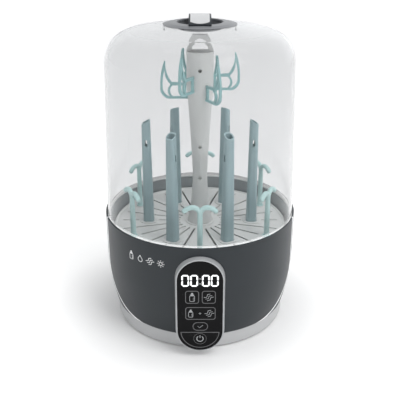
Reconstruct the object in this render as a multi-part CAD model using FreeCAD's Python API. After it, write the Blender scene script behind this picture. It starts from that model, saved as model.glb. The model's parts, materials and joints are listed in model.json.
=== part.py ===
"""Countertop steam sterilizer and dryer for baby bottles, built as an assembly of separate pieces.

Frame: millimetres, +Z up, origin on the table at the middle of the base, front panel facing -Y.
An azimuth is measured from the front (-Y) and grows towards the right-hand side (+X).
"""

import FreeCAD, Part
import math
import os

# ---------------------------------------------------------------- driving dimensions
# Base
RIM_RADIUS = 140.2          # outside of the dark covers at the rim
RIM_Z = 166.0               # top edge of the covers
COVER_WALL = 2.2
COVER_TUCK = 11.2           # how far the covers draw in from rim to foot
COVER_STRAIGHT = 62.0       # upright stretch of the covers below the rim
FOOT_RING_TOP_Z = 24.0
FOOT_RING_TUCK = 1.4        # foot ring sits this far inside the covers' lower edge
FOOT_RING_WALL = 2.5
FOOT_RING_BOTTOM_Z = 2.0
SEAM = 0.4                  # visible seam between two fixed shells
TRIM_Y = -42.0              # upright stretch of the seam between front cover and rear cover
TRIM_BEND_Z = 92.0          # below it the seam swings forward
TRIM_BEND_RADIUS = 69.0
TRIM_WIDTH = 2.8            # light strip in the seam
TRIM_PROUD = 0.4
BOTTOM_PLATE_THICK = 2.5
FOOT_PAD_RADIUS = 9.0
FOOT_PAD_SINK = 1.0
FOOT_PAD_INSET = 22.0       # from the foot ring's outside to a pad's centre

# Steam bowl, seal and heater
BOWL_DEPTH = 71.0           # rim to bowl floor
BOWL_WALL = 2.0
BOWL_GAP = 0.3              # bowl flange to cover
FLANGE_DROP = 5.0           # rim to bowl flange
FLANGE_WIDTH = 4.8
LEDGE_DROP = 28.8           # rim to the ledge that carries the rack
LEDGE_INSET = 9.6           # rim outside to the ledge's outer corner
LEDGE_WIDTH = 6.5
BOWL_FLOOR_INSET = 22.0     # rim outside to the bowl's lower corner
SEAL_HEIGHT = 2.0
SEAL_WIDTH = 2.8
HEATER_RADIUS = 50.0
HEATER_THICK = 1.5
HEATER_LAP = 4.0
ELEMENT_RADIUS = 33.0
ELEMENT_ROD = 4.0
THERMOSTAT_RADIUS = 9.0
THERMOSTAT_HEIGHT = 10.0
POST_AZIMUTHS = (50.0, 130.0, 230.0, 310.0)
POST_RADIUS = 5.0
POST_INSET = 18.0           # bowl's lower corner to a post's centre
POST_SPLIT_Z = 44.0         # where bowl bosses meet the posts of the bottom plate
POST_SCREW_RADIUS = 1.8

# Lid
LID_GAP = 0.6               # dome to cover
DOME_WALL = 2.2
DOME_DRAFT = 7.0            # how far the dome's side leans in up to the shoulder
DOME_HEIGHT = 272.3         # dome's lower edge to its crown
DOME_SHOULDER_RADIUS = 42.0
DOME_CROWN_RADIUS = 490.0
BEAD_WIDTH = 3.6
BEAD_HEIGHT = 5.0
CUP_RADIUS = 30.0
CUP_FLANGE_RADIUS = 50.2
CUP_FLANGE_THICK = 1.8
CUP_FLANGE_EDGE = 0.5
CUP_FLANGE_TAPER = 8.0      # width of the sloping brim
CUP_WALL = 2.0
CUP_DEPTH = 9.9             # crown to the underside of the cup
CUP_FIT = 0.3
BAR_WIDTH = 30.0
BAR_LENGTH = 76.0
BAR_RISE = 10.2             # crown to the top of the grip bar
BAR_END_DROP = 8.0
BAR_THICK = 4.2
BAR_FOOT = 7.0
INLAY_WIDTH = 25.4
INLAY_SINK = 0.6
INLAY_PROUD = 0.5
INLAY_END_RADIUS = 20.0
INLAY_END_GAP = 1.5
CLIP_WIDTH = 5.0
CLIP_LENGTH = 2.0
CLIP_STEM = 0.9
CLIP_INSET = 2.0            # flange's edge to a clip's middle
CLIP_DROP = 11.9            # crown to the tip of a snap clip
CLIP_BARB = 2.2             # height of the barb at the tip

# Rack
RACK_GAP = 2.4              # rack rim to bowl wall
TRAY_THICK = 3.0
TRAY_FOOT = 2.1             # how far the tray's rim reaches below its plate
TRAY_LIP = 1.6
TRAY_LIP_WIDTH = 2.0
TRAY_REST = 0.1             # tray rim to ledge
SLOT_WIDTH = 3.0
SLOT_INNER_RADIUS = 30.0
SLOT_MARGIN = 9.0           # slot end to tray rim
PAD_HEIGHT = 1.2            # raised pads under the pegs
PAD_MARGIN = 5.0
COLUMN_TOP_RADIUS = 18.8
COLUMN_WAIST_RADIUS = 10.7
COLUMN_FOOT_RADIUS = 18.4
COLUMN_WAIST_RISE = 79.0    # tray to the waist
COLUMN_HEAD = 48.0          # straight head, loop root down to where the taper starts
COLUMN_WALL = 2.4
LOOP_CLEARANCE = 6.9        # loop to the cup above it
LOOP_HEIGHT = 20.5
LOOP_TOP_HALF = 10.0
LOOP_THICK = 10.0
LOOP_HOLE_HEIGHT = 13.4
LOOP_HOLE_HALF = 11.2
SPIGOT_RADIUS = 9.0
SPIGOT_LENGTH = 14.0
SPIGOT_FIT = 0.2
NUT_RADIUS = 15.0
NUT_HEIGHT = 7.0
SCREW_DROPS = (24.8, 135.2, 183.2)   # column head down to each joining screw
SCREW_RADIUS = 1.1
SCREW_HEAD_RADIUS = 2.6
SCREW_BOSS_RADIUS = 4.0
SCREW_SEAT = 5.0            # parting plane forward to the seat of a screw's head
SCREW_REACH = 7.0           # parting plane back to the end of a screw's bore

# Bottle pegs
PEG_COUNT = 6
PEG_CIRCLE = 77.4           # centre to peg
PEG_HEIGHT = 158.0          # tray to the peg's highest point
PEG_FOOT_RADIAL = 15.6
PEG_FOOT_TANGENT = 16.8
PEG_TIP_RADIAL = 12.2
PEG_TIP_TANGENT = 13.0
PEG_CORNER = 5.0
PEG_WALL = 1.8
PEG_BEVEL_DROP = 7.0        # fall of the slanted tip, towards the outside
PEG_TENON_INSET = 2.2       # tenon outline inside the peg's foot
PEG_TENON_LENGTH = 6.0
PEG_FIT = 0.25
PEG_VENT_DROP = 34.0
PEG_VENT_WIDTH = 3.0
PEG_VENT_HEIGHT = 7.0

# Small hooks
HOOK_COUNT = 6
HOOK_CIRCLE = 110.0
HOOK_HEIGHT = 73.0          # tray to the top of the curls
HOOK_ROD = 3.4
HOOK_REACH = 20.8
HOOK_DROOP = 5.0
HOOK_RISE = 10.0            # height of the curl above its root
HOOK_FOOT_RADIUS = 6.0
HOOK_FOOT_HEIGHT = 2.0
HOOK_TENON_RADIUS = 3.0
HOOK_TENON_LENGTH = 6.0
HOOK_FIT = 0.2

# Teat arms
ARM_COUNT = 6
ARM_LOW_DROP = 67.3         # column head down to the lower tier's foot
ARM_TIER = 12.0             # the upper tier sits this much higher
ARM_HEIGHT = 53.0
ARM_REACH = 55.2
ARM_TIP_RADIUS = 48.2
ARM_ROD = 3.2
ARM_YOKE = 22.0             # height of the two-rod yoke at the column
ARM_TENON = 4.4
ARM_FIT = 0.2
ARM_SEAT_GAP = 0.3

# Control panel
PANEL_TOP_MARGIN = 14.2     # rim to the top of the glass
PANEL_BOTTOM_Z = 12.0
PANEL_WIDTH = 61.6
PANEL_BEZEL = 1.6
PANEL_DRAFT = 1.4
PANEL_PROUD = 7.5
POD_DEPTH = 26.0            # how far the frame reaches back into the base
POD_WALL = 2.4
POD_GAP = 0.8               # frame to steam bowl
GLASS_THICK = 2.2
GLASS_PROUD = 0.6
GLASS_FIT = 0.2
DISPLAY_WIDTH = 42.0
DISPLAY_HEIGHT = 16.0
DISPLAY_THICK = 5.0
DISPLAY_DROP = 25.0         # top of the glass to the middle of the display
BOARD_THICK = 1.6
SENSOR_RADIUS = 4.0
SENSOR_SPOTS = ((-9.0, 58.8), (9.0, 58.8), (0.0, 83.2), (0.0, 104.6), (0.0, 124.6))  # x, drop

# Air filter and its door
FILTER_WIDTH = 70.0
FILTER_HEIGHT = 40.0
FILTER_THICK = 18.0
FILTER_BOTTOM_Z = 32.0
FILTER_WALL = 2.0
FILTER_FIT = 1.0
FILTER_CORNER = 2.5         # outer corners of the tunnel
DOOR_THICK = 4.0
DOOR_GAP = 0.6
DOOR_PROUD = 5.0            # door face beyond the rim radius
DOOR_RECESS = 1.0           # tunnel edge beyond the door face
DOOR_PIN_RADIUS = 1.5
DOOR_PIN_FIT = 0.05
DOOR_PIN_LENGTH = 1.8
DOOR_SLOT_COUNT = 7
DOOR_SLOT_HEIGHT = 2.6

# Blower, duct and air heater
BLOWER_RADIUS = 42.0
BLOWER_HEIGHT = 30.0
BLOWER_WALL = 2.0
BLOWER_BOTTOM_Z = 9.0
BLOWER_LID_THICK = 2.0
BLOWER_INTAKE_RADIUS = 22.0
BLOWER_STANDOFF = 6.0       # blower to filter
IMPELLER_RADIUS = 34.0
IMPELLER_HEIGHT = 19.0
IMPELLER_BLADES = 24
IMPELLER_BLADE_DEPTH = 8.0
IMPELLER_BLADE_THICK = 1.2
IMPELLER_WALL = 1.8
MOTOR_RADIUS = 14.0
MOTOR_HEIGHT = 12.0
SHAFT_RADIUS = 2.0
SHAFT_FIT = 0.05
DUCT_WIDTH = 26.0
DUCT_HEIGHT = 22.0
DUCT_WALL = 1.6
RISER_LENGTH = 20.0
RISER_MARGIN = 16.0         # riser to the bowl's lower corner
CHIMNEY_HEIGHT = 26.0
PTC_LENGTH = 14.0

# Power parts
BOARD_LENGTH = 60.0
BOARD_WIDTH = 45.0
BOARD_LEFT_X = -56.0
BOARD_REAR_Y = -23.0
BOARD_Z = 12.0
INLET_AZIMUTH = 140.0
INLET_Z = 46.0
INLET_WIDTH = 22.0
INLET_HEIGHT = 14.0
INLET_DEPTH = 18.0
INLET_WALL = 1.8
INLET_PIN_RADIUS = 1.2
INLET_PIN_SPACING = 8.6

# ---------------------------------------------------------------- worked-out sizes
COVER_INNER_RADIUS = RIM_RADIUS - COVER_WALL
COVER_FOOT_RADIUS = RIM_RADIUS - COVER_TUCK
COVER_BOTTOM_Z = FOOT_RING_TOP_Z
COVER_BEND_Z = RIM_Z - COVER_STRAIGHT
FOOT_RING_RADIUS = COVER_FOOT_RADIUS - FOOT_RING_TUCK
FOOT_RING_INNER = FOOT_RING_RADIUS - FOOT_RING_WALL
PLATE_TOP_Z = FOOT_RING_BOTTOM_Z + BOTTOM_PLATE_THICK
PLATE_RADIUS = FOOT_RING_INNER
FLANGE_Z = RIM_Z - FLANGE_DROP
FLANGE_RADIUS = COVER_INNER_RADIUS - BOWL_GAP
BOWL_FLOOR_Z = RIM_Z - BOWL_DEPTH
BOWL_FLOOR_RADIUS = RIM_RADIUS - BOWL_FLOOR_INSET
LEDGE_Z = RIM_Z - LEDGE_DROP
LEDGE_RADIUS = RIM_RADIUS - LEDGE_INSET
POST_CIRCLE = BOWL_FLOOR_RADIUS - POST_INSET
DOME_RADIUS = COVER_INNER_RADIUS - LID_GAP
DOME_BOTTOM_Z = FLANGE_Z + SEAL_HEIGHT
CROWN_Z = DOME_BOTTOM_Z + DOME_HEIGHT
DOME_SIDE_RADIUS = DOME_RADIUS - DOME_DRAFT
DOME_CORNER_RADIUS = DOME_SIDE_RADIUS - DOME_SHOULDER_RADIUS    # centre line to the shoulder's centre
CROWN_CENTRE_Z = CROWN_Z - DOME_CROWN_RADIUS
DOME_SHOULDER_Z = CROWN_CENTRE_Z + math.sqrt(
    (DOME_CROWN_RADIUS - DOME_SHOULDER_RADIUS) ** 2 - DOME_CORNER_RADIUS ** 2)
TRAY_RADIUS = LEDGE_RADIUS - RACK_GAP
TRAY_BOTTOM_Z = LEDGE_Z + TRAY_REST + TRAY_FOOT
TRAY_Z = TRAY_BOTTOM_Z + TRAY_THICK
LOOP_TOP_Z = CROWN_Z - CUP_DEPTH - LOOP_CLEARANCE
COLUMN_TOP_Z = LOOP_TOP_Z - LOOP_HEIGHT
COLUMN_TAPER_Z = COLUMN_TOP_Z - COLUMN_HEAD
COLUMN_WAIST_Z = TRAY_Z + COLUMN_WAIST_RISE
PANEL_TOP_Z = RIM_Z - PANEL_TOP_MARGIN
PANEL_HEIGHT = PANEL_TOP_Z - PANEL_BOTTOM_Z
PANEL_MID_Z = (PANEL_TOP_Z + PANEL_BOTTOM_Z) / 2
PANEL_FRONT_Y = -(RIM_RADIUS + PANEL_PROUD)
POD_BACK_Y = -(RIM_RADIUS - POD_DEPTH)
FILTER_OUTER_WIDTH = FILTER_WIDTH + 2 * (FILTER_FIT + FILTER_WALL)
DOOR_FACE_Y = RIM_RADIUS + DOOR_PROUD
DOOR_AXIS_Y = DOOR_FACE_Y - DOOR_THICK / 2
FILTER_REAR_Y = RIM_RADIUS - COVER_TUCK - FILTER_THICK
FILTER_FRONT_Y = FILTER_REAR_Y - FILTER_THICK
BLOWER_Y = FILTER_FRONT_Y - FILTER_WALL - BLOWER_STANDOFF - BLOWER_RADIUS
BLOWER_TOP_Z = BLOWER_BOTTOM_Z + BLOWER_HEIGHT
DUCT_Y = BLOWER_Y - BLOWER_RADIUS + DUCT_WIDTH / 2 + BLOWER_WALL
RISER_X = BOWL_FLOOR_RADIUS - RISER_MARGIN - RISER_LENGTH / 2
Z_AXIS = FreeCAD.Vector(0, 0, 1)
ORIGIN = FreeCAD.Vector(0, 0, 0)
TALL = 600.0                # longer than anything it cuts


# ---------------------------------------------------------------- geometry helpers
def vec(x, y, z):
    return FreeCAD.Vector(x, y, z)


def edges_through(points):
    """Edges through points; a pair (middle, end) in place of a point draws an arc to that end."""
    edges = []
    here = points[0]
    for step in points[1:]:
        if isinstance(step, tuple):
            middle, end = step
            edges.append(Part.Arc(here, middle, end).toShape())
            here = end
        else:
            edges.append(Part.makeLine(here, step))
            here = step
    return edges


def closed_wire(points):
    """Closed outline; an arc as the last step may end on the first point."""
    last = points[-1][1] if isinstance(points[-1], tuple) else points[-1]
    closing = [] if last.isEqual(points[0], 1e-6) else [points[0]]
    return Part.Wire(edges_through(points + closing))


def rz(radius, z):
    """A point of a half section, which lies in the XZ plane."""
    return vec(radius, 0, z)


def revolve(points, start=0.0, sweep=360.0):
    """Solid of revolution about Z of a closed half section, from azimuth start over sweep degrees."""
    face = Part.Face(closed_wire(points))
    solid = face.revolve(ORIGIN, Z_AXIS, sweep)
    return at_azimuth(solid, start)


def at_azimuth(shape, azimuth):
    """Turns a shape built along +X so that it points along the azimuth."""
    moved = shape.copy()
    moved.rotate(ORIGIN, Z_AXIS, azimuth - 90.0)
    return moved


def spot(radius, azimuth, z=0.0):
    angle = math.radians(azimuth)
    return vec(radius * math.sin(angle), -radius * math.cos(angle), z)


def box(x0, x1, y0, y1, z0, z1):
    return Part.makeBox(x1 - x0, y1 - y0, z1 - z0, vec(x0, y0, z0))


def cylinder(radius, z0, z1, x=0.0, y=0.0):
    return Part.makeCylinder(radius, z1 - z0, vec(x, y, z0))


def cylinder_along_y(radius, y0, y1, x, z):
    return Part.makeCylinder(radius, y1 - y0, vec(x, y0, z), vec(0, 1, 0))


def cylinder_along_x(radius, x0, x1, y, z):
    return Part.makeCylinder(radius, x1 - x0, vec(x0, y, z), vec(1, 0, 0))


def rounded_box_wire(half_x, half_y, corner, z):
    """Rectangle with round corners in the plane at height z, centred on the Z axis."""
    cut = corner * (1 - math.sqrt(0.5))
    a, b = half_x, half_y
    return closed_wire([
        vec(a - corner, -b, z),
        (vec(a - cut, -b + cut, z), vec(a, -b + corner, z)),
        vec(a, b - corner, z),
        (vec(a - cut, b - cut, z), vec(a - corner, b, z)),
        vec(-a + corner, b, z),
        (vec(-a + cut, b - cut, z), vec(-a, b - corner, z)),
        vec(-a, -b + corner, z),
        (vec(-a + cut, -b + cut, z), vec(-a + corner, -b, z)),
    ])


def pill_wire(width, height, y, middle_z):
    """Upright pill outline, two half circles joined by straight sides, in the plane at y."""
    half = width / 2
    low = middle_z - height / 2 + half
    high = middle_z + height / 2 - half
    return Part.Wire([
        Part.makeLine(vec(half, y, low), vec(half, y, high)),
        Part.Arc(vec(half, y, high), vec(0, y, high + half), vec(-half, y, high)).toShape(),
        Part.makeLine(vec(-half, y, high), vec(-half, y, low)),
        Part.Arc(vec(-half, y, low), vec(0, y, low - half), vec(half, y, low)).toShape(),
    ])


def pill(width, height, y0, y1, middle_z):
    face = Part.Face(pill_wire(width, height, y0, middle_z))
    return face.extrude(vec(0, y1 - y0, 0))


def plate_along_y(points, thickness):
    """Flat plate of a closed XZ outline, centred on y = 0."""
    face = Part.Face(closed_wire(points))
    solid = face.extrude(vec(0, thickness, 0))
    solid.translate(vec(0, -thickness / 2, 0))
    return solid


def plate_along_x(points, width):
    """Flat plate of a closed YZ outline, centred on x = 0."""
    face = Part.Face(closed_wire(points))
    solid = face.extrude(vec(width, 0, 0))
    solid.translate(vec(-width / 2, 0, 0))
    return solid


def fused(shapes):
    whole = shapes[0].multiFuse(shapes[1:]) if len(shapes) > 1 else shapes[0]
    return whole.removeSplitter()


def export(name, shape):
    """Writes one node; a group of loose solids is kept as separate solids."""
    solids = shape.Solids
    for solid in solids:
        if not solid.isValid() or solid.Volume <= 0:
            raise ValueError(f"{name} holds a solid that is not valid")
    out = solids[0] if len(solids) == 1 else Part.makeCompound(solids)
    out.exportStep(f"parts/{name}.step")


# ---------------------------------------------------------------- base shells
def cover_bend_radius():
    """Radius of the arc that draws the covers in, upright where it meets the straight stretch."""
    fall = COVER_BEND_Z - COVER_BOTTOM_Z
    return (fall ** 2 + COVER_TUCK ** 2) / (2 * COVER_TUCK)


def cover_radius(z):
    """Outside radius of the covers at height z."""
    if z >= COVER_BEND_Z:
        return RIM_RADIUS
    bend = cover_bend_radius()
    return RIM_RADIUS - bend + math.sqrt(bend ** 2 - (COVER_BEND_Z - z) ** 2)


def cover_section(outer_shift, inner_shift, top_z, lip):
    """Half section of the covers, its outside and inside moved by the two shifts."""
    mid_z = (COVER_BEND_Z + COVER_BOTTOM_Z) / 2
    foot = cover_radius(COVER_BOTTOM_Z)
    mid = cover_radius(mid_z)
    out = RIM_RADIUS + outer_shift
    inner = RIM_RADIUS + inner_shift
    cut = lip * (1 - math.sqrt(0.5))
    return [
        rz(foot + outer_shift, COVER_BOTTOM_Z),
        (rz(mid + outer_shift, mid_z), rz(out, COVER_BEND_Z)),
        rz(out, top_z - lip),
        (rz(out - cut, top_z - cut), rz(out - lip, top_z)),
        rz(inner, top_z),
        rz(inner, COVER_BEND_Z),
        (rz(mid + inner_shift, mid_z), rz(foot + inner_shift, COVER_BOTTOM_Z)),
    ]


def front_zone(shift):
    """Everything in front of the seam between the covers, its edge moved rearwards by shift."""
    edge = TRIM_Y + shift
    centre_y = TRIM_Y - TRIM_BEND_RADIUS
    radius = TRIM_BEND_RADIUS + shift
    mid = radius * math.sqrt(0.5)
    return plate_along_x([
        vec(0, -TALL, TALL),
        vec(0, edge, TALL),
        vec(0, edge, TRIM_BEND_Z),
        (vec(0, centre_y + mid, TRIM_BEND_Z - mid), vec(0, centre_y, TRIM_BEND_Z - radius)),
        vec(0, -TALL, TRIM_BEND_Z - radius),
    ], TALL)


def panel_outline():
    """Body of the control frame, for the cuts that it sits in."""
    grow = 2 * (PANEL_BEZEL + PANEL_DRAFT)
    return pill(PANEL_WIDTH + grow, PANEL_HEIGHT + grow, PANEL_FRONT_Y, POD_BACK_Y, PANEL_MID_Z)


def cover_shell():
    return revolve(cover_section(0, -COVER_WALL, RIM_Z, 1.0))


def front_cover():
    return cover_shell().common(front_zone(0)).cut(panel_outline())


def rear_cover():
    shell = cover_shell().cut(front_zone(TRIM_WIDTH))
    return shell.cut(filter_tunnel(SEAM / 2)).cut(inlet_block(SEAM / 2))


def side_trim(side):
    """Light strip that fills the seam on one side, -1 left or 1 right, a little proud of the covers."""
    shell = revolve(cover_section(TRIM_PROUD, -COVER_WALL, RIM_Z - SEAM, 0.8))
    strip = shell.common(front_zone(TRIM_WIDTH)).cut(front_zone(0))
    return max(strip.Solids, key=lambda solid: side * solid.CenterOfMass.x)


def foot_pad_spots():
    return [spot(FOOT_RING_RADIUS - FOOT_PAD_INSET, azimuth) for azimuth in (45, 135, 225, 315)]


def foot_ring():
    """Light ring that closes the base below the covers, with a lip that centres them."""
    lip_outer = cover_radius(COVER_BOTTOM_Z) - COVER_WALL - SEAM
    ring = revolve([
        rz(FOOT_RING_INNER, FOOT_RING_BOTTOM_Z),
        rz(FOOT_RING_RADIUS - 1.6, FOOT_RING_BOTTOM_Z),
        (rz(FOOT_RING_RADIUS - 0.5, FOOT_RING_BOTTOM_Z + 0.5),
         rz(FOOT_RING_RADIUS, FOOT_RING_BOTTOM_Z + 1.6)),
        rz(FOOT_RING_RADIUS, FOOT_RING_TOP_Z),
        rz(lip_outer, FOOT_RING_TOP_Z),
        rz(lip_outer, FOOT_RING_TOP_Z + 5),
        rz(lip_outer - 2, FOOT_RING_TOP_Z + 5),
        rz(FOOT_RING_INNER, FOOT_RING_TOP_Z - 3),
    ])
    return ring.cut(panel_outline())


def bottom_plate():
    """Floor of the base: posts for the bowl, air slots, pockets for the pads."""
    plate = cylinder(PLATE_RADIUS, FOOT_RING_BOTTOM_Z, PLATE_TOP_Z)
    posts = []
    for azimuth in POST_AZIMUTHS:
        at = spot(POST_CIRCLE, azimuth)
        posts.append(cylinder(POST_RADIUS, PLATE_TOP_Z, POST_SPLIT_Z, at.x, at.y))
    for x in (BOARD_LEFT_X + 5, BOARD_LEFT_X + BOARD_LENGTH - 5):
        for y in (BOARD_REAR_Y - 5, BOARD_REAR_Y - BOARD_WIDTH + 5):
            posts.append(cylinder(3, PLATE_TOP_Z, BOARD_Z, x, y))
    for azimuth in (90, 210, 330):
        at = spot(BLOWER_RADIUS - 8, azimuth)
        posts.append(cylinder(4, PLATE_TOP_Z, BLOWER_BOTTOM_Z, at.x, at.y + BLOWER_Y))
    plate = fused([plate] + posts)
    cuts = []
    for azimuth in POST_AZIMUTHS:
        at = spot(POST_CIRCLE, azimuth)
        cuts.append(cylinder(POST_SCREW_RADIUS, 0, POST_SPLIT_Z + 1, at.x, at.y))
        cuts.append(cylinder(POST_RADIUS - 1.5, 0, POST_SPLIT_Z - 8, at.x, at.y))
    for at in foot_pad_spots():
        cuts.append(cylinder(FOOT_PAD_RADIUS, 0, FOOT_RING_BOTTOM_Z + FOOT_PAD_SINK, at.x, at.y))
    for row in range(-4, 5):
        y = row * 8.0
        cuts.append(box(64, 64 + 22, y - 1.5, y + 1.5, 0, PLATE_TOP_Z + 1))
    return plate.cut(cuts[0].multiFuse(cuts[1:]))


def foot_pads():
    top = FOOT_RING_BOTTOM_Z + FOOT_PAD_SINK
    return Part.makeCompound([
        cylinder(FOOT_PAD_RADIUS, 0, top, at.x, at.y) for at in foot_pad_spots()
    ])


def base_screws():
    """Screws that draw the bowl's bosses down on the posts, seen from below in the hollow posts."""
    screws = []
    head_z = POST_SPLIT_Z - 8
    for azimuth in POST_AZIMUTHS:
        at = spot(POST_CIRCLE, azimuth)
        shank = cylinder(POST_SCREW_RADIUS - 0.1, head_z - 1, POST_SPLIT_Z + 12, at.x, at.y)
        head = cylinder(POST_RADIUS - 1.8, head_z - 3, head_z, at.x, at.y)
        screws.append(shank.fuse(head).removeSplitter())
    return Part.makeCompound(screws)


# ---------------------------------------------------------------- bowl and heater
def bowl_wall_radius(z):
    """Inside radius of the bowl's sloping wall between the flange and the ledge."""
    top = FLANGE_RADIUS - FLANGE_WIDTH
    share = (z - LEDGE_Z) / (FLANGE_Z - LEDGE_Z)
    return LEDGE_RADIUS + share * (top - LEDGE_RADIUS)


def riser_box(grow, z0, z1):
    half_x = RISER_LENGTH / 2 + grow
    half_y = DUCT_WIDTH / 2 + grow
    return box(RISER_X - half_x, RISER_X + half_x, DUCT_Y - half_y, DUCT_Y + half_y, z0, z1)


def steam_bowl():
    """Open bowl with a flange for the seal, a ledge for the rack and a chimney for the drying air."""
    t = BOWL_WALL
    wall_top = FLANGE_RADIUS - FLANGE_WIDTH
    ledge_in = LEDGE_RADIUS - LEDGE_WIDTH
    corner = 8.0
    cut = corner * (1 - math.sqrt(0.5))
    outer_cut = (corner + t) * (1 - math.sqrt(0.5))
    low = BOWL_FLOOR_RADIUS - 4.0
    hole = HEATER_RADIUS - HEATER_LAP
    bowl = revolve([
        rz(FLANGE_RADIUS, FLANGE_Z),
        rz(wall_top, FLANGE_Z),
        rz(LEDGE_RADIUS, LEDGE_Z),
        rz(ledge_in, LEDGE_Z),
        rz(low, BOWL_FLOOR_Z + corner),
        (rz(low - cut, BOWL_FLOOR_Z + cut), rz(low - corner, BOWL_FLOOR_Z)),
        rz(hole, BOWL_FLOOR_Z),
        rz(hole, BOWL_FLOOR_Z - t),
        rz(low - corner, BOWL_FLOOR_Z - t),
        (rz(low + t - outer_cut, BOWL_FLOOR_Z - t + outer_cut), rz(low + t, BOWL_FLOOR_Z + corner)),
        rz(ledge_in + t, LEDGE_Z - t),
        rz(LEDGE_RADIUS + t, LEDGE_Z - t),
        rz(wall_top + t, FLANGE_Z - t),
        rz(FLANGE_RADIUS, FLANGE_Z - t),
    ])
    bosses = []
    for azimuth in POST_AZIMUTHS:
        at = spot(POST_CIRCLE, azimuth)
        boss = cylinder(POST_RADIUS, POST_SPLIT_Z, BOWL_FLOOR_Z - t, at.x, at.y)
        bore = cylinder(POST_SCREW_RADIUS, POST_SPLIT_Z, POST_SPLIT_Z + 13, at.x, at.y)
        bosses.append(boss.cut(bore))
    chimney = riser_box(DUCT_WALL, BOWL_FLOOR_Z - t, BOWL_FLOOR_Z + CHIMNEY_HEIGHT)
    bowl = fused([bowl, chimney] + bosses)
    return bowl.cut(riser_box(0, BOWL_FLOOR_Z - 5, BOWL_FLOOR_Z + CHIMNEY_HEIGHT + 1))


def bowl_keepout():
    """Room taken by the bowl and a gap around it."""
    grow = BOWL_WALL + POD_GAP
    low = BOWL_FLOOR_RADIUS - 4.0 + grow
    under = BOWL_FLOOR_Z - grow
    return revolve([
        rz(0, under),
        rz(low, under),
        rz(LEDGE_RADIUS - LEDGE_WIDTH + grow, LEDGE_Z - grow),
        rz(LEDGE_RADIUS + grow, LEDGE_Z - grow),
        rz(FLANGE_RADIUS - FLANGE_WIDTH + grow, FLANGE_Z),
        rz(FLANGE_RADIUS - FLANGE_WIDTH + grow, RIM_Z),
        rz(0, RIM_Z),
    ])


def air_hood():
    """Small roof over the chimney that keeps drips out; it stands on four short legs."""
    z0 = BOWL_FLOOR_Z + CHIMNEY_HEIGHT
    roof = riser_box(DUCT_WALL, z0 + 6, z0 + 8)
    legs = []
    for dx in (-1, 1):
        for dy in (-1, 1):
            x = RISER_X + dx * (RISER_LENGTH + DUCT_WALL) / 2
            y = DUCT_Y + dy * (DUCT_WIDTH + DUCT_WALL) / 2
            legs.append(box(x - 0.8, x + 0.8, y - 0.8, y + 0.8, z0, z0 + 6.5))
    return fused([roof] + legs)


def rim_seal():
    outer = DOME_RADIUS
    return revolve([
        rz(outer - SEAL_WIDTH, FLANGE_Z),
        rz(outer, FLANGE_Z),
        rz(outer, DOME_BOTTOM_Z),
        rz(outer - SEAL_WIDTH, DOME_BOTTOM_Z),
    ])


def heater_plate():
    """Shallow steel dish over the hole in the bowl's floor."""
    z = BOWL_FLOOR_Z
    return revolve([
        rz(0, z),
        rz(HEATER_RADIUS, z),
        rz(HEATER_RADIUS, z + HEATER_THICK),
        rz(HEATER_RADIUS - 3, z + HEATER_THICK),
        rz(HEATER_RADIUS - 5, z + HEATER_THICK - 0.6),
        rz(0, z + HEATER_THICK - 0.6),
    ])


def heating_element():
    """Sheathed rod bent to an open ring under the plate, with its two cold ends turned down."""
    z = BOWL_FLOOR_Z - ELEMENT_ROD
    gap = 24.0
    ring = Part.makeTorus(ELEMENT_RADIUS, ELEMENT_ROD, vec(0, 0, z), Z_AXIS, -180, 180, 360 - gap)
    shapes = [at_azimuth(ring, 90 + gap / 2)]
    for azimuth in (90 - gap / 2, 90 + gap / 2):
        at = spot(ELEMENT_RADIUS, azimuth)
        shapes.append(cylinder(ELEMENT_ROD, z - 9, z, at.x, at.y))
        shapes.append(Part.makeSphere(ELEMENT_ROD, vec(at.x, at.y, z)))
    return fused(shapes)


def thermostat():
    top = BOWL_FLOOR_Z
    body = cylinder(THERMOSTAT_RADIUS, top - THERMOSTAT_HEIGHT, top)
    legs = [box(x - 3, x + 3, -0.4, 0.4, top - THERMOSTAT_HEIGHT - 7, top - THERMOSTAT_HEIGHT + 1)
            for x in (-5, 5)]
    return fused([body] + legs)


# ---------------------------------------------------------------- lid
def dome_section(inset):
    """Half outline of the dome from its lower edge to the axis, moved inwards by inset."""
    cx = DOME_CORNER_RADIUS
    turn = math.atan2(DOME_SHOULDER_Z - CROWN_CENTRE_Z, cx)
    far = (turn + math.pi / 2) / 2
    r1 = DOME_SHOULDER_RADIUS - inset
    r2 = DOME_CROWN_RADIUS - inset

    def on_shoulder(angle):
        return rz(cx + r1 * math.cos(angle), DOME_SHOULDER_Z + r1 * math.sin(angle))

    return {
        "bottom": rz(DOME_RADIUS - inset, DOME_BOTTOM_Z),
        "side": rz(DOME_SIDE_RADIUS - inset, DOME_SHOULDER_Z),
        "shoulder_mid": on_shoulder(turn / 2),
        "shoulder_end": on_shoulder(turn),
        "crown_mid": rz(r2 * math.cos(far), CROWN_CENTRE_Z + r2 * math.sin(far)),
        "crown": rz(0, CROWN_CENTRE_Z + r2),
    }


def crown_z(radius, offset=0.0):
    """Height of the dome's outside at a radius near the crown, moved outwards by offset."""
    reach = DOME_CROWN_RADIUS + offset
    return CROWN_CENTRE_Z + math.sqrt(reach ** 2 - radius ** 2)


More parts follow.
